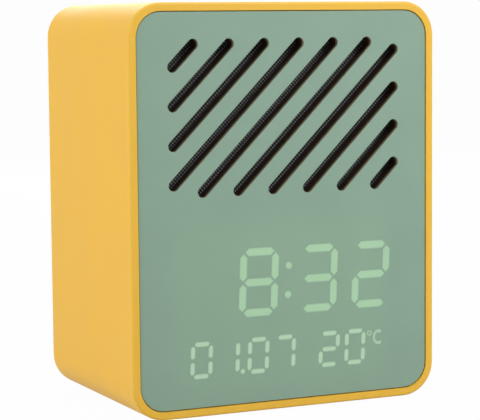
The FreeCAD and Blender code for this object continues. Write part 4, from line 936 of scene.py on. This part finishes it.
key_signs = {name: bmesh.new() for name in key_names}
draw_band(key_signs["set"], (0, 0), clock_ring, clock_line, steps=28)
draw_bar(key_signs["set"], (0, -hand_line / 2), (0, long_hand), hand_line)
draw_bar(key_signs["set"], (hand_line / 2, 0), (short_hand, 0), hand_line)
for name in ("minus", "plus"):
    draw_bar(key_signs[name], (-cross_reach, 0), (cross_reach, 0), cross_line)
for side in (1, -1):
    draw_bar(key_signs["plus"], (0, side * cross_line / 2), (0, side * cross_reach), cross_line)
draw_bell(key_signs["alarm"], (0, 0), key_bell_scale)
for name, drawing in key_signs.items():
    low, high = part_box(name + "_button")
    place = face_place(((low.x + high.x) / 2, high.y, (low.z + high.z) / 2), (-1, 0, 0), (0, 0, 1))
    lay_mark(name + "_sign", drawing, ink_height, place, print_ink, name + "_key")

# Alarm switch: a black slider in a slot of the rear cover, with a small bell
# printed over it and the words OFF and ON under its two ends.
slider_black = (0.02, 0.02, 0.02, 1.0)
cover_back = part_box("rear_cover")[1].y
switch_middle = (-21.0 * mm, cover_back, 68.0 * mm)
switch_bell_scale = 0.8
word_size = 2.1
word_drop = 4.6
words = {"OFF": 2.6, "ON": -2.8}
dress(moulded("black_slider", slider_black, rough=0.45, mottle=0.05), "alarm_switch_knob")


def draw_word(drawing, word, centre, size):
    """A word in plain letters, as flat faces round a centre."""
    letters = bpy.data.curves.new(word, "FONT")
    letters.body = word
    letters.size = size
    letters.align_x = "CENTER"
    letters.align_y = "CENTER"
    holder = bpy.data.objects.new(word, letters)
    flat = bpy.data.meshes.new_from_object(holder)
    flat.transform(Matrix.Translation(Vector(centre).to_3d()))
    drawing.from_mesh(flat)
    bpy.data.objects.remove(holder)
    bpy.data.curves.remove(letters)
    bpy.data.meshes.remove(flat)


switch_signs = bmesh.new()
draw_bell(switch_signs, (0, word_drop), switch_bell_scale)
for word, x in words.items():
    draw_word(switch_signs, word, (x, -word_drop), word_size)
bmesh.ops.remove_doubles(switch_signs, verts=switch_signs.verts, dist=0.001)
switch_place = face_place(switch_middle, (-1, 0, 0), (0, 0, 1))
lay_mark("switch_signs", switch_signs, ink_height, switch_place, print_ink, "housing")

# Power socket: a drawn steel shell round a black contact tongue, soldered
# upright to the main board behind its hole in the cover.
socket_middle = (21.0 * mm, 66.0 * mm)
tongue_half = (3.4 * mm, 0.38 * mm)
bare_steel = (0.60, 0.60, 0.58, 1.0)
contact_black = (0.015, 0.015, 0.016, 1.0)


def socket_material():
    """Bright steel, and black plastic where the tongue is."""
    material, tree, shell = new_surface("steel_socket")
    axes = object_axes(tree)
    inside = []
    for axis, middle, half in zip(("X", "Z"), socket_middle, tongue_half):
        reach = calculate(tree, "ABSOLUTE", calculate(tree, "SUBTRACT", axes[axis], middle))
        inside.append(calculate(tree, "LESS_THAN", reach, half))
    tongue = calculate(tree, "MULTIPLY", *inside)
    tree.links.new(tint(tree, tongue, bare_steel, contact_black), shell.inputs["Base Color"])
    tree.links.new(calculate(tree, "SUBTRACT", 1.0, tongue), shell.inputs["Metallic"])
    roughness = spread(tree, noise(tree, 600.0, detail=3.0), 0.24, 0.4)
    tree.links.new(roughness, shell.inputs["Roughness"])
    raise_skin(tree, shell, noise(tree, 3000.0, 2.0, (1.0, 0.1, 1.0)), scratch_depth)
    return material


dress(socket_material(), "power_socket")

# Battery cells: three slim steel cans in a plain slate sleeve, pale grey at the
# end towards the plus pole, which changes side from cell to cell.
cell_row_middle = 30.0 * mm
cell_pitch = 11.2 * mm
pale_from = 13.0 * mm
sleeve_half = 21.2 * mm
sleeve_slate = (0.055, 0.075, 0.105, 1.0)
sleeve_pale = (0.52, 0.53, 0.53, 1.0)


def cell_material():
    """Slate sleeve, pale band at the plus end and bare steel ends."""
    material, tree, can = new_surface("cell_sleeve")
    axes = object_axes(tree)
    above = calculate(tree, "ABSOLUTE", calculate(tree, "SUBTRACT", axes["Z"], cell_row_middle))
    outer_cell = calculate(tree, "GREATER_THAN", above, cell_pitch / 2)
    side = spread(tree, outer_cell, -1.0, 1.0, 0.0, 1.0)
    towards_plus = calculate(tree, "MULTIPLY", axes["X"], side)
    band = calculate(tree, "GREATER_THAN", towards_plus, pale_from)
    bare = calculate(tree, "GREATER_THAN", calculate(tree, "ABSOLUTE", axes["X"]), sleeve_half)
    sleeve = tint(tree, band, sleeve_slate, sleeve_pale)
    tree.links.new(tint(tree, bare, sleeve, bare_steel), can.inputs["Base Color"])
    tree.links.new(bare, can.inputs["Metallic"])
    roughness = spread(tree, noise(tree, 300.0, detail=3.0), 0.22, 0.36)
    tree.links.new(roughness, can.inputs["Roughness"])
    raise_skin(tree, can, noise(tree, 2500.0), scratch_depth)
    return material


dress(cell_material(), "battery_cells")

# Cell springs and contacts: nickel-plated spring wire, wound to a cone against
# the minus end of each cell, and bent nickel strip at both ends of the bay.
nickel_grey = (0.68, 0.65, 0.58, 1.0)
nickel = metal("nickel_plate", nickel_grey, rough=0.28)
dress(nickel, "battery_contacts")
spring_low, spring_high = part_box("battery_springs")
bay_wall = spring_high.x
spring_y = (spring_low.y + spring_high.y) / 2
spring_length = 6.0 * mm
spring_wire = 0.3 * mm
spring_wide = 2.9 * mm
spring_narrow = 1.7 * mm
spring_turns = 6
spring_steps = 20 * spring_turns
spring_rows = (
    (cell_row_middle - cell_pitch, 1), (cell_row_middle, -1), (cell_row_middle + cell_pitch, 1),
)
coils = bmesh.new()
for row_z, side in spring_rows:
    coil = bmesh.new()
    advance = (spring_length - 2 * spring_wire) / spring_steps
    wire_place = Matrix.Translation((spring_wire, spring_wide, 0))
    bmesh.ops.create_circle(coil, cap_ends=False, radius=spring_wire, segments=8, matrix=wire_place)
    bmesh.ops.spin(
        coil, geom=coil.verts[:] + coil.edges[:], cent=(0, 0, 0), axis=(1, 0, 0),
        dvec=(advance, 0, 0), angle=2 * math.pi * spring_turns, steps=spring_steps,
    )
    bmesh.ops.holes_fill(coil, edges=[edge for edge in coil.edges if edge.is_boundary], sides=0)
    for vert in coil.verts:
        share = max(0.0, min(1.0, vert.co.x / spring_length))
        radius = math.hypot(vert.co.y, vert.co.z)
        narrowed = (radius + share * (spring_narrow - spring_wide)) / radius
        vert.co.y *= narrowed
        vert.co.z *= narrowed
    if side < 0:
        half_turn = Matrix.Rotation(math.pi, 3, "Z")
        bmesh.ops.rotate(coil, verts=coil.verts, cent=(0, 0, 0), matrix=half_turn)
    bmesh.ops.translate(coil, verts=coil.verts, vec=(-side * bay_wall, spring_y, row_z))
    bmesh.ops.recalc_face_normals(coil, faces=coil.faces)
    add_mesh(coils, coil)
cell_springs = finish_mesh("cell_spring_coils", coils, smooth=True)
cell_springs.data.materials.append(nickel)
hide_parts("battery_springs")
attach(cell_springs, "housing")

# Main board parts: a quartz can and two capacitors in sleeves, white nylon
# connectors, and a lacquered sensor bead behind the vents.
can_grey = (0.64, 0.64, 0.62, 1.0)
sleeve_navy = (0.02, 0.025, 0.05, 1.0)
lacquer_brown = (0.05, 0.02, 0.012, 1.0)
dress(metal("quartz_can", can_grey, rough=0.25, brushing=(0.1, 1.0, 1.0)), "clock_crystal")
dress(moulded("capacitor_sleeve", sleeve_navy, rough=0.35, mottle=0.1), "capacitors")
dress(white_nylon, "board_connectors")
dress(moulded("sensor_lacquer", lacquer_brown, rough=0.3, mottle=0.1), "temperature_sensor")

# Wires: black and red PVC leads between the boards, and a grey ribbon cable
# whose cores show as ridges.
pvc_black = (0.02, 0.02, 0.02, 1.0)
pvc_red = (0.42, 0.02, 0.015, 1.0)
ribbon_grey = (0.42, 0.43, 0.44, 1.0)
ribbon_cores = ("X", 1.0 * mm)
dress(moulded("black_pvc", pvc_black, rough=0.4, grain=3000.0), "speaker_lead", "talk_lead")
dress(moulded("red_pvc", pvc_red, rough=0.4, grain=3000.0), "battery_lead")
dress(ridged("grey_ribbon", ribbon_grey, 0.5, ribbon_cores, depth=0.15 * mm), "display_cable")

# Feet: four pads of moulded black rubber with a matt, grainy skin, each glued
# into a shallow pocket under the casing.
foot_black = (0.028, 0.027, 0.026, 1.0)
foot_rubber = moulded(
    "rubber_foot", foot_black, rough=0.8, grain=2200.0, depth=0.03 * mm, mottle=0.12,
)
dress(foot_rubber, "feet")
